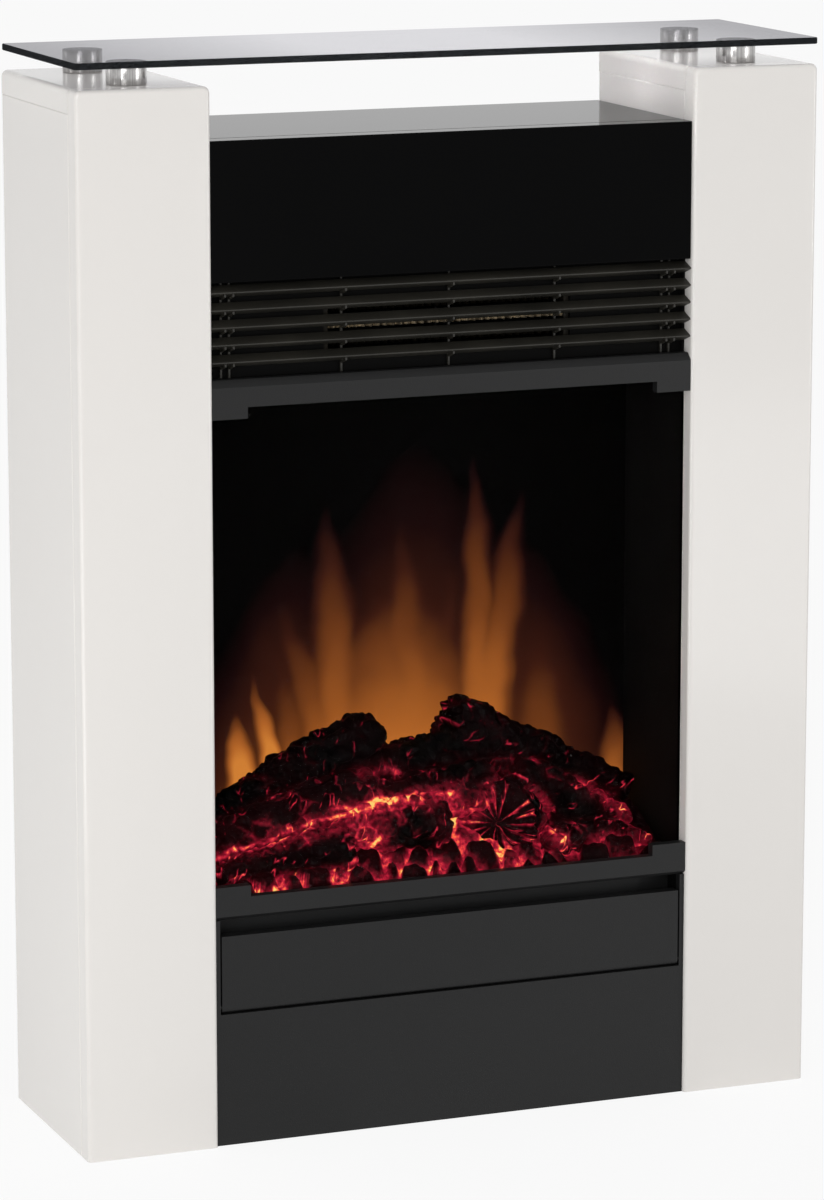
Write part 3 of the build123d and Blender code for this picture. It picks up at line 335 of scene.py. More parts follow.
screen_sheet, tree, shader, spot = start_material(
    "flame_screen", {"Roughness": 0.5, "Specular IOR Level": 0.01, "Emission Strength": 1.0}
)
wander = place(tree, "ShaderNodeTexNoise",
               {"Vector": spot, "Scale": FLICKER_SCALE, "Detail": 2.0, "Roughness": 0.55})
sway = place(tree, "ShaderNodeVectorMath", {0: wander.outputs["Color"], 1: (0.5, 0.5, 0.5)},
             operation="SUBTRACT").outputs[0]
flicker = place(tree, "ShaderNodeVectorMath", {0: sway, 1: FLICKER_REACH, 2: spot},
                operation="MULTIPLY_ADD").outputs[0]
fire = 0.0
for root, foot, height, width, lean, strength in FLAMES:
    lit = place(tree, "ShaderNodeGroup", node_tree=tongue,
                links={"Vector": flicker, "Root": root, "Foot": foot, "Height": height, "Width": width,
                       "Lean": lean}).outputs["Glow"]
    fire = calculate(tree, "SMOOTH_MAX", calculate(tree, "MULTIPLY", lit, strength), fire, FLAME_MELT)
painted_flame_light = colour_ramp(
    tree, calculate(tree, "SUBTRACT", fire, DARK_LEVEL), (0.0, 0.0, 0.0), (0.62, 0.21, 0.035),
    ((0.10, (0.008, 0.0016, 0.0016)), (0.25, (0.040, 0.009, 0.004)),
     (0.50, (0.165, 0.045, 0.0095)), (0.80, (0.43, 0.125, 0.021)))
)
# Painted light: the sheet glows in the colour of the flames.
tree.links.new(painted_flame_light, shader.inputs["Emission Color"])
haze = place(tree, "ShaderNodeTexNoise", {"Vector": spot, "Scale": 1500.0}).outputs[0]
smoked = blend_colours(tree, haze, (0.0006, 0.0006, 0.0006, 1.0), (0.0012, 0.0010, 0.0010, 1.0))
tree.links.new(smoked, shader.inputs["Base Color"])
dress(screen_sheet, "flame_screen")


# Logs: hollow lengths of cast resin, sprayed charcoal black, that lie on the ember bed.
# The light below leaks through their cracks and wherever one log meets the next; it is painted on the logs
# as a glow.
BED_LOW, BED_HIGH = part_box("ember_bed")
HEARTH = BED_LOW.z

# Each log: its ends across the bed, back from its front and over the hearth, each followed by its radius
# and by how far that end bulges, and last the glow inside the log
LOGS = {
    "cut_log": ((0.053, 0.023, 0.043), 0.034, 0.002, (0.076, 0.051, 0.048), 0.027, 0.010, 0.06),
    "centre_log": ((-0.081, 0.030, 0.046), 0.018, 0.010, (0.012, 0.030, 0.048), 0.023, 0.008, 0.15),
    "front_log": ((-0.183, 0.022, 0.023), 0.010, 0.002, (-0.066, 0.024, 0.038), 0.020, 0.014, 0.03),
    "left_log": ((-0.183, 0.075, 0.048), 0.013, 0.002, (-0.024, 0.075, 0.114), 0.023, 0.016, 0.01),
    "right_log": ((0.028, 0.075, 0.114), 0.025, 0.003, (0.183, 0.075, 0.048), 0.012, 0.002, 0.01),
    "rear_log": ((-0.060, 0.075, 0.084), 0.019, 0.008, (0.086, 0.075, 0.080), 0.022, 0.008, 0.03),
}

# Branches that are moulded in one with the bed, given in the same way
BRANCHES = {
    "left_branch": ((-0.183, 0.049, 0.034), 0.018, 0.002, (-0.036, 0.055, 0.071), 0.024, 0.012, 0.04),
    "middle_branch": ((-0.046, 0.051, 0.057), 0.022, 0.010, (0.062, 0.051, 0.066), 0.024, 0.010, 0.14),
    "right_branch": ((0.070, 0.051, 0.076), 0.020, 0.010, (0.172, 0.047, 0.024), 0.015, 0.008, 0.14),
    "low_branch": ((0.086, 0.026, 0.026), 0.015, 0.010, (0.182, 0.024, 0.017), 0.011, 0.008, 0.17),
}
RINGS_ALONG = 132
RINGS_AROUND = 96
CAP_SHARE = 0.13
BOW_UP = 0.0025
BOW_ASIDE = 0.002
BARK_RELIEF = 0.0030
PLATES_ALONG = 74.0
PLATES_AROUND = 62.0
PLATE_CRACK = 0.34
RAGGED = 0.007
RAGGED_SHARE = 0.14

# The star of drying cracks on the cut end: how many spokes, how wide each is, the share of the radius in
# which it sets in, and how strong and how stretched the strokes between the spokes are
SPOKES = 8
SPOKE_WIDTH = 0.38
SPOKE_START = 0.12
STAR_STROKES = 0.46
STAR_ROUND, STAR_REACH = 0.030, 0.012

# Lumps on the bark, each the number of waves per metre and their height
LUMPS = ((32.0, 0.0038), (90.0, 0.0022), (230.0, 0.0013))

# Light from below: the heights over the hearth between which it fades in a joint and in a crack, how many
# patches of it there are per metre, and how far it reaches from a joint or from the line of a seam
JOINT_FADE = (0.050, 0.098)
CRACK_FADE = (0.035, 0.105)
JOINT_PATCHES = 36.0
CRACK_PATCHES = 48.0
INNER_CLOUDS = 26.0
STAR_PATCHES = 50.0
JOINT_HALO = 0.0080
SEAM_CORE = (0.0004, 0.0034)
SEAM_HALO = 0.0130
SEAM_WANDER = 0.005
SEAM_TURNS = 58.0
SEAM_DEPTH_SHARE = 0.35
SEAM_SEED = 11

# The way that the seams stray is drawn from this seed, so that it is the same in every run
noise.seed_set(SEAM_SEED)


def soft_step(value, low, high):
    """Runs smoothly from 0 at low to 1 at high."""
    share = min(max((value - low) / (high - low), 0.0), 1.0)
    return share * share * (3.0 - 2.0 * share)


def lift(point):
    """A point given across the bed, back from its front and over the hearth, in the object's frame."""
    return Vector((point[0], BED_LOW.y + point[1], HEARTH + point[2]))


def crack_depth(point, width):
    """1 in the middle of a crack between the plates of burnt bark, 0 on a plate."""
    near = noise.voronoi(point)[0]
    return 1.0 - soft_step(near[1] - near[0], 0.0, width)


def nearest_gap(point, skipped):
    """How far a point lies from the skin of the nearest other log or branch."""
    least = 1.0
    for name, (foot, foot_radius, foot_bulge, tip, tip_radius, *rest) in (LOGS | BRANCHES).items():
        if name != skipped:
            start, run = lift(foot), lift(tip) - lift(foot)
            share = min(max((point - start).dot(run) / run.length_squared, 0.0), 1.0)
            radius = foot_radius + (tip_radius - foot_radius) * share
            least = min(least, (point - start - run * share).length - radius)
    return least


# Seams where the lamps below shine out between the logs: their ends, given in the same way, and brightness
SEAMS = [
    (lift(start), lift(end), strength) for start, end, strength in (
        ((-0.183, 0.029, 0.034), (-0.130, 0.030, 0.045), 0.50),
        ((-0.130, 0.030, 0.045), (-0.072, 0.031, 0.058), 0.88),
        ((-0.078, 0.028, 0.064), (0.012, 0.026, 0.071), 0.86),
        ((0.014, 0.026, 0.071), (0.022, 0.020, 0.028), 0.95),
        ((-0.172, 0.006, 0.013), (-0.066, 0.006, 0.019), 0.95),
        ((-0.066, 0.006, 0.019), (-0.046, 0.022, 0.048), 0.80),
        ((-0.040, 0.010, 0.026), (-0.028, 0.006, 0.014), 0.90),
        ((0.006, 0.010, 0.030), (-0.012, 0.006, 0.014), 0.75),
        ((0.094, 0.0615, 0.0745), (0.135, 0.060, 0.0555), 1.00),
        ((0.135, 0.060, 0.0555), (0.165, 0.056, 0.044), 0.60),
        ((-0.055, 0.056, 0.084), (-0.022, 0.056, 0.084), 0.50),
        ((0.086, 0.024, 0.046), (0.100, 0.012, 0.028), 0.75),
        ((0.130, 0.012, 0.022), (0.170, 0.012, 0.018), 0.50),
    )
]


def waves(point, heights, offset):
    """Sums rounded lumps at a point; each entry of heights is the waves per metre and their height."""
    return sum(height * noise.noise(point * scale + offset) for scale, height in heights)


def leak(point, gap):
    """How much light leaks out at a point: a dull halo in each low joint, bright where a seam is open."""
    low = 1.0 - soft_step(point.z - HEARTH, *JOINT_FADE)
    patch = min(max(0.55 + 1.2 * noise.noise(point * JOINT_PATCHES), 0.0), 1.0)
    light = low * (1.0 - soft_step(gap, 0.0, JOINT_HALO)) * (0.06 + 0.22 * patch)
    strayed = point + noise.noise_vector(point * SEAM_TURNS) * SEAM_WANDER
    for start, end, strength in SEAMS:
        run = end - start
        share = min(max((strayed - start).dot(run) / run.length_squared, 0.0), 1.0)
        aside = strayed - start - run * share
        distance = math.hypot(aside.x, SEAM_DEPTH_SHARE * aside.y, aside.z)
        core = 1.0 - soft_step(distance, *SEAM_CORE)
        halo = 1.0 - soft_step(distance, 0.0, SEAM_HALO)
        light = max(light, strength * (core * (0.35 + 0.65 * patch) + 0.38 * halo))
    return light


def hold(name, mesh_source, material, slot, *replaced):
    """Makes a finished bmesh a piece of the cabinet that stands for nodes of the frame."""
    mesh = bpy.data.meshes.new(name)
    mesh_source.to_mesh(mesh)
    mesh_source.free()
    mesh.polygons.foreach_set("use_smooth", [True] * len(mesh.polygons))
    mesh.materials.append(material)
    piece = bpy.data.objects.new(name, mesh)
    bpy.context.scene.collection.objects.link(piece)
    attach(piece, "cabinet")
    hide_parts(*replaced)


# Ember glow: the colour of the painted light that shows at a crack, from a dull crimson to a yellow heat,
# broken into short slanted strokes along the bark
STROKE_SLANT = 0.5
STROKES_PER_METRE = (120.0, 42.0, 1.0)
STROKE_EDGE = (0.008, 0.034)
BREAKS_PER_METRE = 85.0
BREAK_EDGE = (0.52, 0.62)
SPECKS_PER_METRE = 240.0
SPECK_DIM, SPECK_BRIGHT = 0.30, 1.50
ASH_PER_METRE = 75.0
GRIT_PER_METRE = 420.0
GRIT_RELIEF = 0.9
GRIT_DEPTH = 0.0012
ember_glow, inlet, outlet = start_group(
    "ember_glow", {"Vector": "Vector", "Glow": "Float", "Bark": "Vector", "Strokes": "Float"},
    {"Light": "Color", "Ash": "Float"}
)
slanted = place(ember_glow, "ShaderNodeMapping",
                {"Vector": inlet["Bark"], "Rotation": (0.0, 0.0, STROKE_SLANT)}).outputs[0]
drawn = place(ember_glow, "ShaderNodeVectorMath", {0: slanted, 1: STROKES_PER_METRE},
              operation="MULTIPLY").outputs[0]
fibres = place(ember_glow, "ShaderNodeTexNoise", {"Vector": drawn, "Scale": 1.0, "Detail": 1.0})
off_ridge = calculate(ember_glow, "ABSOLUTE", calculate(ember_glow, "SUBTRACT", fibres.outputs[0], 0.5))
ridge = stretch(ember_glow, off_ridge, *STROKE_EDGE, 1.0, 0.0)
spots = place(ember_glow, "ShaderNodeTexNoise",
              {"Vector": inlet["Bark"], "Scale": BREAKS_PER_METRE, "Detail": 1.0})
dashes = calculate(ember_glow, "MULTIPLY", ridge, stretch(ember_glow, spots.outputs[0], *BREAK_EDGE))
stroke = calculate(ember_glow, "MULTIPLY", dashes, inlet["Strokes"])
specks = place(ember_glow, "ShaderNodeTexNoise",
               {"Vector": inlet["Vector"], "Scale": SPECKS_PER_METRE, "Detail": 3.0})
mottle = stretch(ember_glow, specks.outputs[0], 0.25, 0.75, SPECK_DIM, SPECK_BRIGHT)
glint = calculate(ember_glow, "MULTIPLY", calculate(ember_glow, "ADD", inlet["Glow"], stroke), mottle)
warmth = colour_ramp(
    ember_glow, glint, (0.0, 0.0, 0.0), (1.0, 0.62, 0.16),
    ((0.10, (0.010, 0.0005, 0.001)), (0.30, (0.14, 0.004, 0.012)), (0.50, (0.44, 0.012, 0.036)),
     (0.70, (0.88, 0.060, 0.060)), (0.86, (1.0, 0.24, 0.06)))
)
ember_glow.links.new(warmth, outlet["Light"])
dusting = place(ember_glow, "ShaderNodeTexNoise",
                {"Vector": inlet["Vector"], "Scale": ASH_PER_METRE, "Detail": 5.0})
ember_glow.links.new(stretch(ember_glow, dusting.outputs[0], 0.45, 0.75), outlet["Ash"])


def burnt(name, char, ash):
    """Charred resin that is lit from below, as its glow attribute and the strokes along its bark say; that
    light is painted on as a glow.
    """
    material, tree, shader, spot = start_material(
        name, {"Specular IOR Level": 0.03, "Emission Strength": 1.0}
    )
    cracked = place(tree, "ShaderNodeAttribute", attribute_name="glow").outputs["Fac"]
    bark = place(tree, "ShaderNodeAttribute", attribute_name="bark").outputs["Vector"]
    strokes = place(tree, "ShaderNodeAttribute", attribute_name="strokes").outputs["Fac"]
    seen = place(tree, "ShaderNodeGroup", node_tree=ember_glow,
                 links={"Vector": spot, "Glow": cracked, "Bark": bark, "Strokes": strokes}).outputs
    tree.links.new(seen["Light"], shader.inputs["Emission Color"])
    tree.links.new(blend_colours(tree, seen["Ash"], (*char, 1.0), (*ash, 1.0)), shader.inputs["Base Color"])
    tree.links.new(stretch(tree, seen["Ash"], 0.0, 1.0, 0.55, 0.85), shader.inputs["Roughness"])
    grit = place(tree, "ShaderNodeTexNoise", {"Vector": spot, "Scale": GRIT_PER_METRE, "Detail": 4.0})
    raise_relief(tree, shader, grit.outputs[0], GRIT_RELIEF, GRIT_DEPTH)
    return material


charred_wood = burnt("charred_wood", (0.0010, 0.0009, 0.0009), (0.0042, 0.0032, 0.0030))


def add_layers(shape):
    """Gives a mesh the layers that its glow, its bark's run and its strokes are kept in."""
    shape.verts.layers.float.new("glow")
    shape.verts.layers.float_vector.new("bark")
    shape.verts.layers.float.new("strokes")


def cast_log(shape, name, foot, foot_radius, foot_bulge, tip, tip_radius, tip_bulge, inner):
    """Adds a burnt log between two ends, with plates of bark and a glow in the cracks between them."""
    axis = (lift(tip) - lift(foot)).normalized()
    start = lift(foot) + axis * foot_bulge
    run = lift(tip) - axis * tip_bulge - start
    side = axis.cross(Vector((0.0, 0.0, 1.0))).normalized()
    top = side.cross(axis)
    seed = Vector((len(name) * 3.7, foot[0] * 91.0, tip[0] * 57.0))
    glow = shape.verts.layers.float["glow"]
    bark = shape.verts.layers.float_vector["bark"]
    strokes = shape.verts.layers.float["strokes"]
    made = bmesh.ops.create_uvsphere(shape, u_segments=RINGS_AROUND, v_segments=RINGS_ALONG, radius=1.0)
    for vert in made["verts"]:
        angle = math.atan2(vert.co.y, vert.co.x)
        latitude = math.acos(max(-1.0, min(1.0, -vert.co.z))) / math.pi
        station = min(max((latitude - CAP_SHARE) / (1.0 - 2.0 * CAP_SHARE), 0.0), 1.0)
        ring = min(latitude, 1.0 - latitude, CAP_SHARE) / CAP_SHARE
        turn = ring * math.pi / 2.0
        bulge = -foot_bulge if latitude < 0.5 else tip_bulge
        outward = side * math.cos(angle) + top * math.sin(angle)
        radius = (foot_radius + (tip_radius - foot_radius) * station) * math.sin(turn)
        bow = top * BOW_UP * math.sin(math.pi * station)
        bow += side * BOW_ASIDE * math.sin(5.0 * station + seed.y)
        spot = start + run * station + bow + axis * bulge * math.cos(turn) + outward * radius
        normal = (outward * math.sin(turn) + axis * math.copysign(math.cos(turn), bulge)).normalized()
        if name == "right_log":
            near_foot = 1.0 - soft_step(station, 0.0, RAGGED_SHARE)
            splinter = 1.6 * abs(noise.noise(spot * 110.0)) + 0.2 * max(0.0, math.sin(angle)) * ring
            spot -= axis * RAGGED * near_foot * splinter
        plates = Vector((station * run.length * PLATES_ALONG, math.cos(angle) * radius * PLATES_AROUND,
                         math.sin(angle) * radius * PLATES_AROUND)) + seed
        crack = crack_depth(plates, PLATE_CRACK)
        star = name == "cut_log" and latitude < CAP_SHARE
        if star:
            around = Vector((math.cos(angle), math.sin(angle), 4.0))
            spoke = abs(math.sin(SPOKES * angle + 2.6 * noise.noise(around * 1.7)))
            reach = 0.04 + 0.50 * max(0.0, noise.noise(around * 3.3))
            crack = 1.0 - soft_step(spoke, 0.0, SPOKE_WIDTH)
            crack *= soft_step(ring, reach, reach + SPOKE_START)
        vert.co = spot + normal * (waves(spot, LUMPS, seed) - BARK_RELIEF * crack)
        low = 1.0 - soft_step(spot.z - HEARTH, *CRACK_FADE)
        patch = soft_step(noise.noise(spot * CRACK_PATCHES + seed), 0.05, 0.40)
        cloud = max(0.0, 0.5 + 1.5 * noise.noise(spot * INNER_CLOUDS + seed))
        shown = inner * cloud + crack ** 3 * patch * (0.08 + 0.16 * low + 0.8 * inner)
        vert[bark] = (station * run.length, angle * radius, seed.x)
        vert[strokes] = 0.36 + 0.18 * low
        if star:
            shown = 0.05 + 0.60 * crack * (0.85 + 0.8 * noise.noise(spot * STAR_PATCHES))
            vert[bark] = (angle * STAR_ROUND, ring * STAR_REACH, 0.0)
            vert[strokes] = STAR_STROKES
        # Painted light: the glow that the lamps below show through the resin.
        vert[glow] = shown + leak(vert.co, nearest_gap(vert.co, name))


for name, form in LOGS.items():
    shape = bmesh.new()
    add_layers(shape)
    cast_log(shape, name, *form)
    bmesh.ops.recalc_face_normals(shape, faces=shape.faces)
    hold("charred_" + name, shape, charred_wood, "log_resin", name)


# Ember bed: a vacuum-formed mound of clear red resin with lumps of coal, painted black on its crowns.
# It lies on the firebox floor over the ember lamps, and smaller burnt branches are moulded in it.
# The light of those lamps through the resin is painted on it as a glow.
BED_HALF = BED_HIGH.x
BED_DEPTH = BED_HIGH.y - BED_LOW.y
CELLS_ACROSS = 250
CELLS_DEEP = 72

# The mound: its height at the front, its rise to the back over a span of its depth, the extra height of
# its crown, half the crown's width, its rim, and the share of the depth in which the front drops
BED_FRONT = 0.008
BED_RISE = 0.036
BED_SLOPE = (-0.1, 0.9)
BED_CROWN = 0.016
CROWN_HALF = 0.05
BED_RIM = 0.006
FRONT_DROP = 0.07

# The coals: how many there are per metre, the cracks between them, their height, the share of the depth
# that the front row takes, and the lumps on them, each the waves per metre and their height
COALS_PER_METRE = 46.0
COAL_LAYER = 2.6
COAL_CRACK = 0.30
COAL_RISE = 0.011
FRONT_ROW = (0.14, 0.42)
COAL_LUMPS = ((70.0, 0.0022), (180.0, 0.0012))

# The painted glow: its patches per metre, the middle and reach of the brightest part, and where it fades at
# the right
WARM_PATCHES = 21.0
GLOW_MIDDLE = -0.03
GLOW_REACH = (0.06, 0.14)
END_FADE = (0.150, 0.180)

bed = bmesh.new()
add_layers(bed)
glow = bed.verts.layers.float["glow"]
bmesh.ops.create_grid(bed, x_segments=CELLS_ACROSS, y_segments=CELLS_DEEP, size=1.0)
rim = [edge for edge in bed.edges if edge.is_boundary]
skirt = bmesh.ops.extrude_edge_only(bed, edges=rim)["geom"]
lower = {vert for vert in skirt if isinstance(vert, bmesh.types.BMVert)}
for vert in bed.verts:
    x = vert.co.x * BED_HALF
    back = (vert.co.y + 1.0) / 2.0
    y = BED_LOW.y + back * BED_DEPTH
    if vert in lower:
        vert.co = (x, y, HEARTH)
        continue
    crown = 1.0 - soft_step(abs(x), CROWN_HALF, BED_HALF)
    ground = BED_FRONT + (BED_RISE + BED_CROWN * crown) * soft_step(back, *BED_SLOPE)
    crack = crack_depth(Vector((x * COALS_PER_METRE, y * COALS_PER_METRE, COAL_LAYER)), COAL_CRACK)
    front_row = 1.0 - soft_step(back, *FRONT_ROW)
    coal = COAL_RISE * (0.45 + 0.55 * front_row) * (1.0 - crack)
    edge_drop = soft_step(back, 0.0, FRONT_DROP) * soft_step(BED_HALF - abs(x), 0.0, BED_RIM)
    spot = Vector((x, y, HEARTH + BED_RIM + (ground + coal - BED_RIM) * edge_drop))
    spot.z += waves(spot, COAL_LUMPS, Vector())
    vert.co = spot
    warm = soft_step(noise.noise(spot * WARM_PATCHES), -0.10, 0.45)
    crowns = 0.03 + 0.20 * warm * (1.0 - 0.8 * front_row)
    glow_peak = 1.0 - soft_step(abs(x - GLOW_MIDDLE), *GLOW_REACH)
    inside = 1.0 - 0.8 * soft_step(x, *END_FADE)
    shown = crowns + (0.18 + 0.34 * warm + 0.32 * glow_peak) * crack ** 2
    leaked = (0.2 + 0.8 * crack) * leak(spot, nearest_gap(spot, None))
    # Painted light: the glow of the lamps through the resin.
    vert[glow] = inside * edge_drop * (shown + leaked)
bmesh.ops.holes_fill(bed, edges=[edge for edge in bed.edges if edge.is_boundary], sides=0)
for name, form in BRANCHES.items():
    cast_log(bed, name, *form)
bmesh.ops.recalc_face_normals(bed, faces=bed.faces)
charred_bed = burnt("charred_bed", (0.0016, 0.0010, 0.0010), (0.0060, 0.0038, 0.0038))
hold("glowing_ember_bed", bed, charred_bed, "ember_resin", "ember_bed")


# Window: a pane of toughened glass that stands between the two trims in front of the firebox.
# The trims are pressed from steel sheet in satin black powder coat, and hold the pane by their end tabs.
window_glass, tree, shader, spot = start_material(
    "window_glass", {"Transmission Weight": 1.0, "Roughness": 0.0, "IOR": 1.02}
)
draw_lines = place(tree, "ShaderNodeTexNoise", {"Vector": spot, "Scale": 5.0}).outputs[0]
clear = blend_colours(tree, draw_lines, (0.97, 0.97, 0.97, 1.0), (0.99, 0.99, 0.985, 1.0))
tree.links.new(clear, shader.inputs["Base Color"])
dress(window_glass, "front_glass")

satin_black = paint("satin_black_coat", (0.0085, 0.0086, 0.0088), (0.0105, 0.0106, 0.0108),
                    grain=1500.0, patch=6.0, roughness=(0.42, 0.52), relief=0.35, Specular_IOR_Level=0.24)
dress(satin_black, "upper_trim", "lower_trim", "base_panel", "control_flap", "control_panel")


# Louvre grille: five blades folded from sheet to a blunt nose, slipped over the fingers of seven ribs.
# All are dipped in a heat-proof black that browns a little over the heater.
grille_black = paint("grille_black", (0.0175, 0.0164, 0.0134), (0.0250, 0.0228, 0.0176),
                     grain=1100.0, patch=22.0, roughness=(0.40, 0.54), relief=0.3, Specular_IOR_Level=0.35)
dress(grille_black, "louvre_blades", "grille_ribs")


# Hood: a front board and a top board of fibreboard in black gloss lacquer, dowelled between the columns.
# The lacquer is polished to a deep black that mirrors the room only at a low angle.
hood_lacquer = paint("black_gloss_lacquer", (0.0012, 0.0012, 0.0013), (0.0020, 0.0020, 0.0021),
                     grain=350.0, patch=2.5, roughness=(0.05, 0.09), relief=0.02, IOR=1.11)
dress(hood_lacquer, "hood_front", "hood_top")


# Controls: three rockers in their switch bodies and a thermostat with its knob, on a black panel.
# All are moulded in black plastic with a spark-eroded skin, and clip in behind the flap.
black_plastic = paint("black_plastic", (0.012, 0.012, 0.012), (0.016, 0.016, 0.016),
                      grain=2200.0, patch=40.0, roughness=(0.36, 0.5), relief=0.4)
dress(black_plastic, "switch_bodies", "flame_rocker", "low_heat_rocker", "high_heat_rocker",
      "thermostat", "thermostat_knob", "cable_gland")


# Columns: each is a box of 18 mm fibreboard, a front, two sides and a cap, in white gloss lacquer.
# The boards are rounded at their edges and glued; a thin backing board closes the rear.
white_lacquer = paint("white_gloss_lacquer", (0.79, 0.765, 0.735), (0.77, 0.742, 0.712),
                      grain=420.0, patch=2.2, roughness=(0.10, 0.16), relief=0.035)
for hand in ("left", "right"):
    dress(white_lacquer, hand + "_front_board", hand + "_outer_side", hand + "_inner_side", hand + "_cap")

backing_board = paint("backing_board", (0.46, 0.36, 0.25), (0.54, 0.43, 0.31),
                      grain=800.0, patch=90.0, roughness=(0.6, 0.8), relief=0.6)
dress(backing_board, "left_back_board", "right_back_board")


# Spacers: four turned steel drums that stand on the caps and carry the shelf on a film of clear bond.
# They are brushed along their height, and a pin under each goes down into its cap.
BOND_FILM = 0.0002
RIM_BREAK = 0.0005
RIM_STEPS = 3
DRUM_SIDES = 96
PIN_RADIUS = 0.003
spacer_steel = bare_metal("spacer_steel", (0.30, 0.295, 0.29), (0.52, 0.51, 0.50),
                          streaks=(1500.0, 1500.0, 20.0), roughness=(0.14, 0.26), relief=0.12)
cap_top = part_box("left_cap")[1].z
drum_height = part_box("glass_shelf")[0].z - BOND_FILM - cap_top
for name in ("left_front_spacer", "left_back_spacer", "right_front_spacer", "right_back_spacer"):
    low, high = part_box(name)
    radius = (high.x - low.x) / 2.0
    drum = bmesh.new()
    bmesh.ops.create_cone(drum, cap_ends=True, segments=DRUM_SIDES, radius1=radius, radius2=radius,
                          depth=drum_height)
    rims = [edge for edge in drum.edges if edge.verts[0].co.z * edge.verts[1].co.z > 0.0]
    bmesh.ops.bevel(drum, geom=rims, offset=RIM_BREAK, segments=RIM_STEPS, profile=0.5, affect="EDGES",
                    material=-1)
    ends = [face for face in drum.faces if len(face.verts) > 4]
    bmesh.ops.inset_individual(drum, faces=ends, thickness=RIM_BREAK)
    foot = [face for face in drum.faces if len(face.verts) > 4 and face.calc_center_median().z < 0.0]
    bmesh.ops.inset_individual(drum, faces=foot, thickness=radius - 2.0 * RIM_BREAK - PIN_RADIUS)
    pin = bmesh.ops.extrude_face_region(drum, geom=foot)["geom"]
    pin_end = [vert for vert in pin if isinstance(vert, bmesh.types.BMVert)]
    bmesh.ops.translate(drum, verts=pin_end, vec=(0.0, 0.0, low.z - cap_top))
    bmesh.ops.delete(drum, geom=foot, context="FACES_ONLY")
    bmesh.ops.recalc_face_normals(drum, faces=drum.faces)
    bmesh.ops.translate(drum, verts=drum.verts, vec=((low.x + high.x) / 2.0, (low.y + high.y) / 2.0,
                                                     cap_top + drum_height / 2.0))
    hold("turned_" + name, drum, spacer_steel, "spacer_steel", name)


# Glass shelf: 5 mm toughened glass with a grey tint and ground edges, carried by the spacers.
# Its tint is darker towards the ends as painted shade, in place of the lighter reflection over its middle.
# From outside the ground edge is painted nearly black as painted shade, because light reaches it through the
# length of the pane.
EDGE_PAINTED_DARK = (0.0006, 0.0007, 0.0008, 1.0)
TINT_WITH_PAINTED_REFLECTION = (0.72, 0.715, 0.745, 1.0)
TINT_WITH_PAINTED_SHADE = (0.40, 0.398, 0.418, 1.0)
PAINTED_REFLECTION_REACH = 0.08
PAINTED_SHADE_REACH = 0.28
shelf_glass, tree, shader, spot = start_material(
    "shelf_glass", {"Transmission Weight": 1.0, "Roughness": 0.0, "IOR": 1.01}
)
surface = place(tree, "ShaderNodeNewGeometry").outputs
facing = place(tree, "ShaderNodeSeparateXYZ", {0: surface["True Normal"]})
flat = stretch(tree, calculate(tree, "ABSOLUTE", facing.outputs["Z"]), 0.80, 0.95)
across = calculate(tree, "ABSOLUTE", place(tree, "ShaderNodeSeparateXYZ", {0: spot}).outputs["X"])
# Painted shade: the tint darkens from the middle of the pane towards its ends.
tint_and_painted_shade = blend_colours(tree, stretch(tree, across, PAINTED_REFLECTION_REACH, PAINTED_SHADE_REACH), TINT_WITH_PAINTED_REFLECTION, TINT_WITH_PAINTED_SHADE)
# Painted shade: the edge faces, seen from outside, are coloured nearly black.
ground_edge_painted_dark = blend_colours(tree, surface["Backfacing"], EDGE_PAINTED_DARK, tint_and_painted_shade)
tree.links.new(blend_colours(tree, flat, ground_edge_painted_dark, tint_and_painted_shade), shader.inputs["Base Color"])
dress(shelf_glass, "glass_shelf")

# The lamps shine through the pane, so it throws no shadow of its own
nodes["glass_shelf"].visible_shadow = False


# Studio: a white floor that keeps a soft shadow, a bright white room and eight soft lamps.
# Seen directly or in a reflection the room is plain white; its light on the object is weaker.
FLOOR_HALF = 40.0
FOOT_MARGIN = 0.02
WHITE_SHARE = 0.90
ROOM_LIGHT = 0.50


def seen_directly(tree):
    """1 for what is seen, mirrored or looked at through glass, and 0 for light that falls on the object."""
    ray = place(tree, "ShaderNodeLightPath").outputs
    mirrored = calculate(tree, "ADD", ray["Is Glossy Ray"], ray["Is Transmission Ray"])
    either = calculate(tree, "ADD", ray["Is Camera Ray"], mirrored)
    return place(tree, "ShaderNodeClamp", {0: either}).outputs[0]


floor_shape = bmesh.new()
bmesh.ops.create_grid(floor_shape, x_segments=1, y_segments=1, size=FLOOR_HALF)
floor_mesh = bpy.data.meshes.new("studio_floor")
floor_shape.to_mesh(floor_mesh)
floor_shape.free()
floor = bpy.data.objects.new("studio_floor", floor_mesh)
bpy.context.scene.collection.objects.link(floor)
floor_paint, tree, shader, spot = start_material(
    "floor_paint", {"Base Color": (0.90, 0.90, 0.90, 1.0), "Roughness": 0.8, "Specular IOR Level": 0.1}
)
white = place(tree, "ShaderNodeEmission", {"Color": (1.0, 1.0, 1.0, 1.0), "Strength": 1.0})
point = place(tree, "ShaderNodeSeparateXYZ", {0: spot}).outputs
beside = calculate(tree, "GREATER_THAN", calculate(tree, "ABSOLUTE", point["X"]), cad_box[1].x - FOOT_MARGIN)
before = calculate(tree, "GREATER_THAN", calculate(tree, "ABSOLUTE", point["Y"]), cad_box[1].y - FOOT_MARGIN)
open_floor = calculate(tree, "MULTIPLY", calculate(tree, "MAXIMUM", beside, before), WHITE_SHARE)
share = calculate(tree, "MULTIPLY", seen_directly(tree), open_floor)
seen = place(tree, "ShaderNodeMixShader", {0: share, 1: shader.outputs[0], 2: white.outputs[0]})
tree.links.new(seen.outputs[0], tree.nodes["Material Output"].inputs["Surface"])
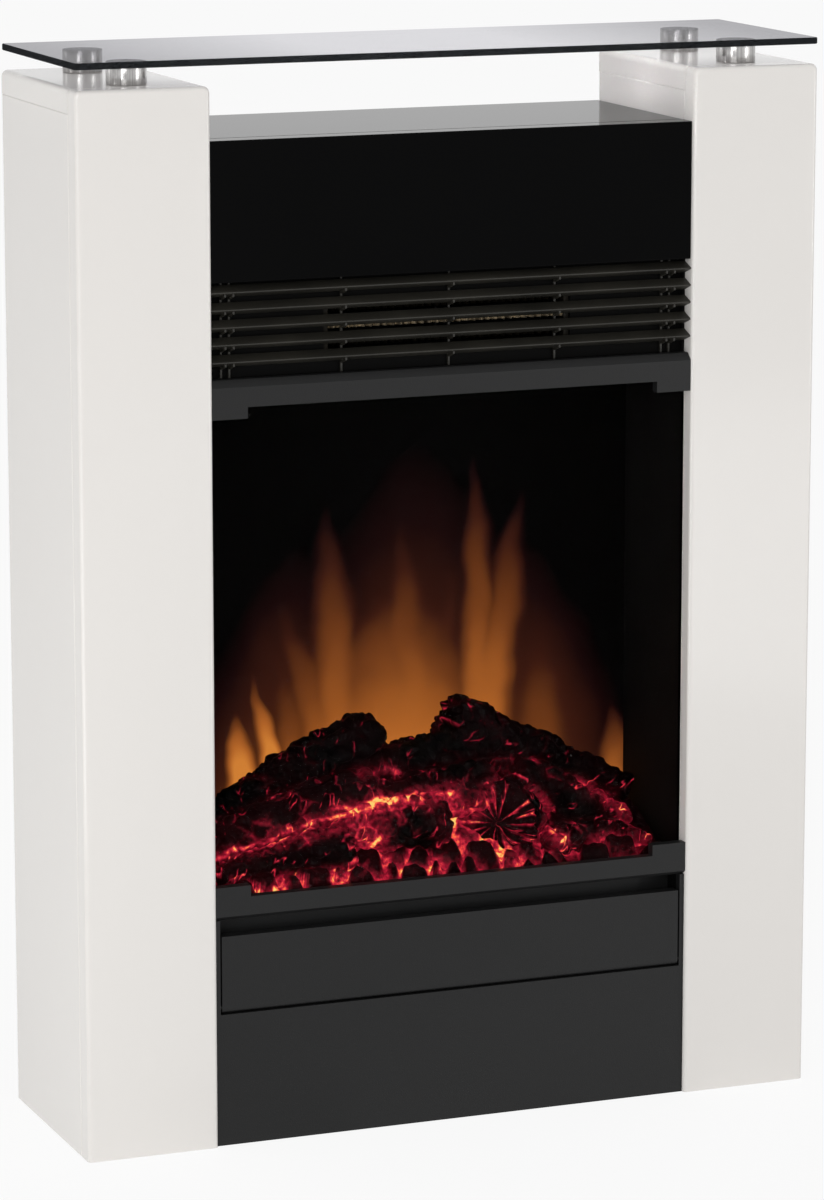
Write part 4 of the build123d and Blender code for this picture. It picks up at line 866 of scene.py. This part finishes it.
floor_mesh.materials.append(floor_paint)

world = bpy.data.worlds.new("studio")
world.use_nodes = True
tree = world.node_tree
backdrop = tree.nodes["Background"].inputs
backdrop["Color"].default_value = (1.0, 1.0, 1.0, 1.0)
tree.links.new(stretch(tree, seen_directly(tree), 0.0, 1.0, ROOM_LIGHT, 1.0), backdrop["Strength"])
bpy.context.scene.world = world

# Each lamp: where it stands, its width and height, its power, what it points at and how wide it spreads.
# The tall low ones streak the steel, the two cards throw light up from the floor, and the narrow one
# reaches over the left column to the inner side of the right one.
MIDDLE = (cad_box[0] + cad_box[1]) / 2.0
INNER_SIDE = Vector((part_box("right_inner_side")[0].x, MIDDLE.y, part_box("right_cap")[0].z))
WIDE = math.pi
NARROW = math.radians(8.0)
LAMPS = {
    "key_lamp": (Vector((-3.2, -5.0, 2.2)), 2.6, 2.6, 78.0, MIDDLE, WIDE),
    "fill_lamp": (Vector((4.2, -3.4, 1.2)), 2.2, 2.2, 18.0, MIDDLE, WIDE),
    "left_strip": (Vector((-2.3, -2.3, 0.50)), 0.28, 1.0, 9.0, MIDDLE, WIDE),
    "right_strip": (Vector((2.3, -2.5, 0.50)), 0.28, 1.0, 9.0, MIDDLE, WIDE),
    "rim_lamp": (Vector((-2.8, 2.0, 1.05)), 0.9, 0.9, 3.0, MIDDLE, WIDE),
    "left_card": (Vector((-1.15, -0.65, 0.02)), 0.9, 0.6, 5.0, MIDDLE, WIDE),
    "right_card": (Vector((1.05, -1.25, 0.02)), 0.9, 0.6, 2.2, MIDDLE, WIDE),
    "inner_lamp": (Vector((-1.55, -0.02, 1.30)), 0.15, 0.15, 0.065, INNER_SIDE, NARROW),
}
for name, (stand, width, tall, watts, target, spread) in LAMPS.items():
    light = bpy.data.lights.new(name, "AREA")
    light.energy = watts
    light.shape = "RECTANGLE"
    light.size = width
    light.size_y = tall
    light.spread = spread
    lamp = bpy.data.objects.new(name, light)
    lamp.location = stand
    lamp.rotation_euler = (target - stand).to_track_quat("-Z", "Y").to_euler()
    lamp.visible_camera = False
    bpy.context.scene.collection.objects.link(lamp)


# Camera: it stands left of the front and a little above the shelf, with a long lens.
# It turns right and dips until the whole object fills the frame.
CAMERA_STAND = Vector((-1.391, -3.512, 1.155))
CAMERA_TURN = math.radians(21.60)
CAMERA_DIP = math.radians(11.40)
FOCAL_LENGTH = 149.2
SENSOR_WIDTH = 36.0
lens = bpy.data.cameras.new("view")
lens.lens = FOCAL_LENGTH
lens.sensor_width = SENSOR_WIDTH
camera = bpy.data.objects.new("view", lens)
look = Vector((math.sin(CAMERA_TURN) * math.cos(CAMERA_DIP), math.cos(CAMERA_TURN) * math.cos(CAMERA_DIP),
               -math.sin(CAMERA_DIP)))
camera.location = CAMERA_STAND
camera.rotation_euler = look.to_track_quat("-Z", "Y").to_euler()
bpy.context.scene.collection.objects.link(camera)
bpy.context.scene.camera = camera
bpy.context.scene.view_settings.view_transform = "Standard"
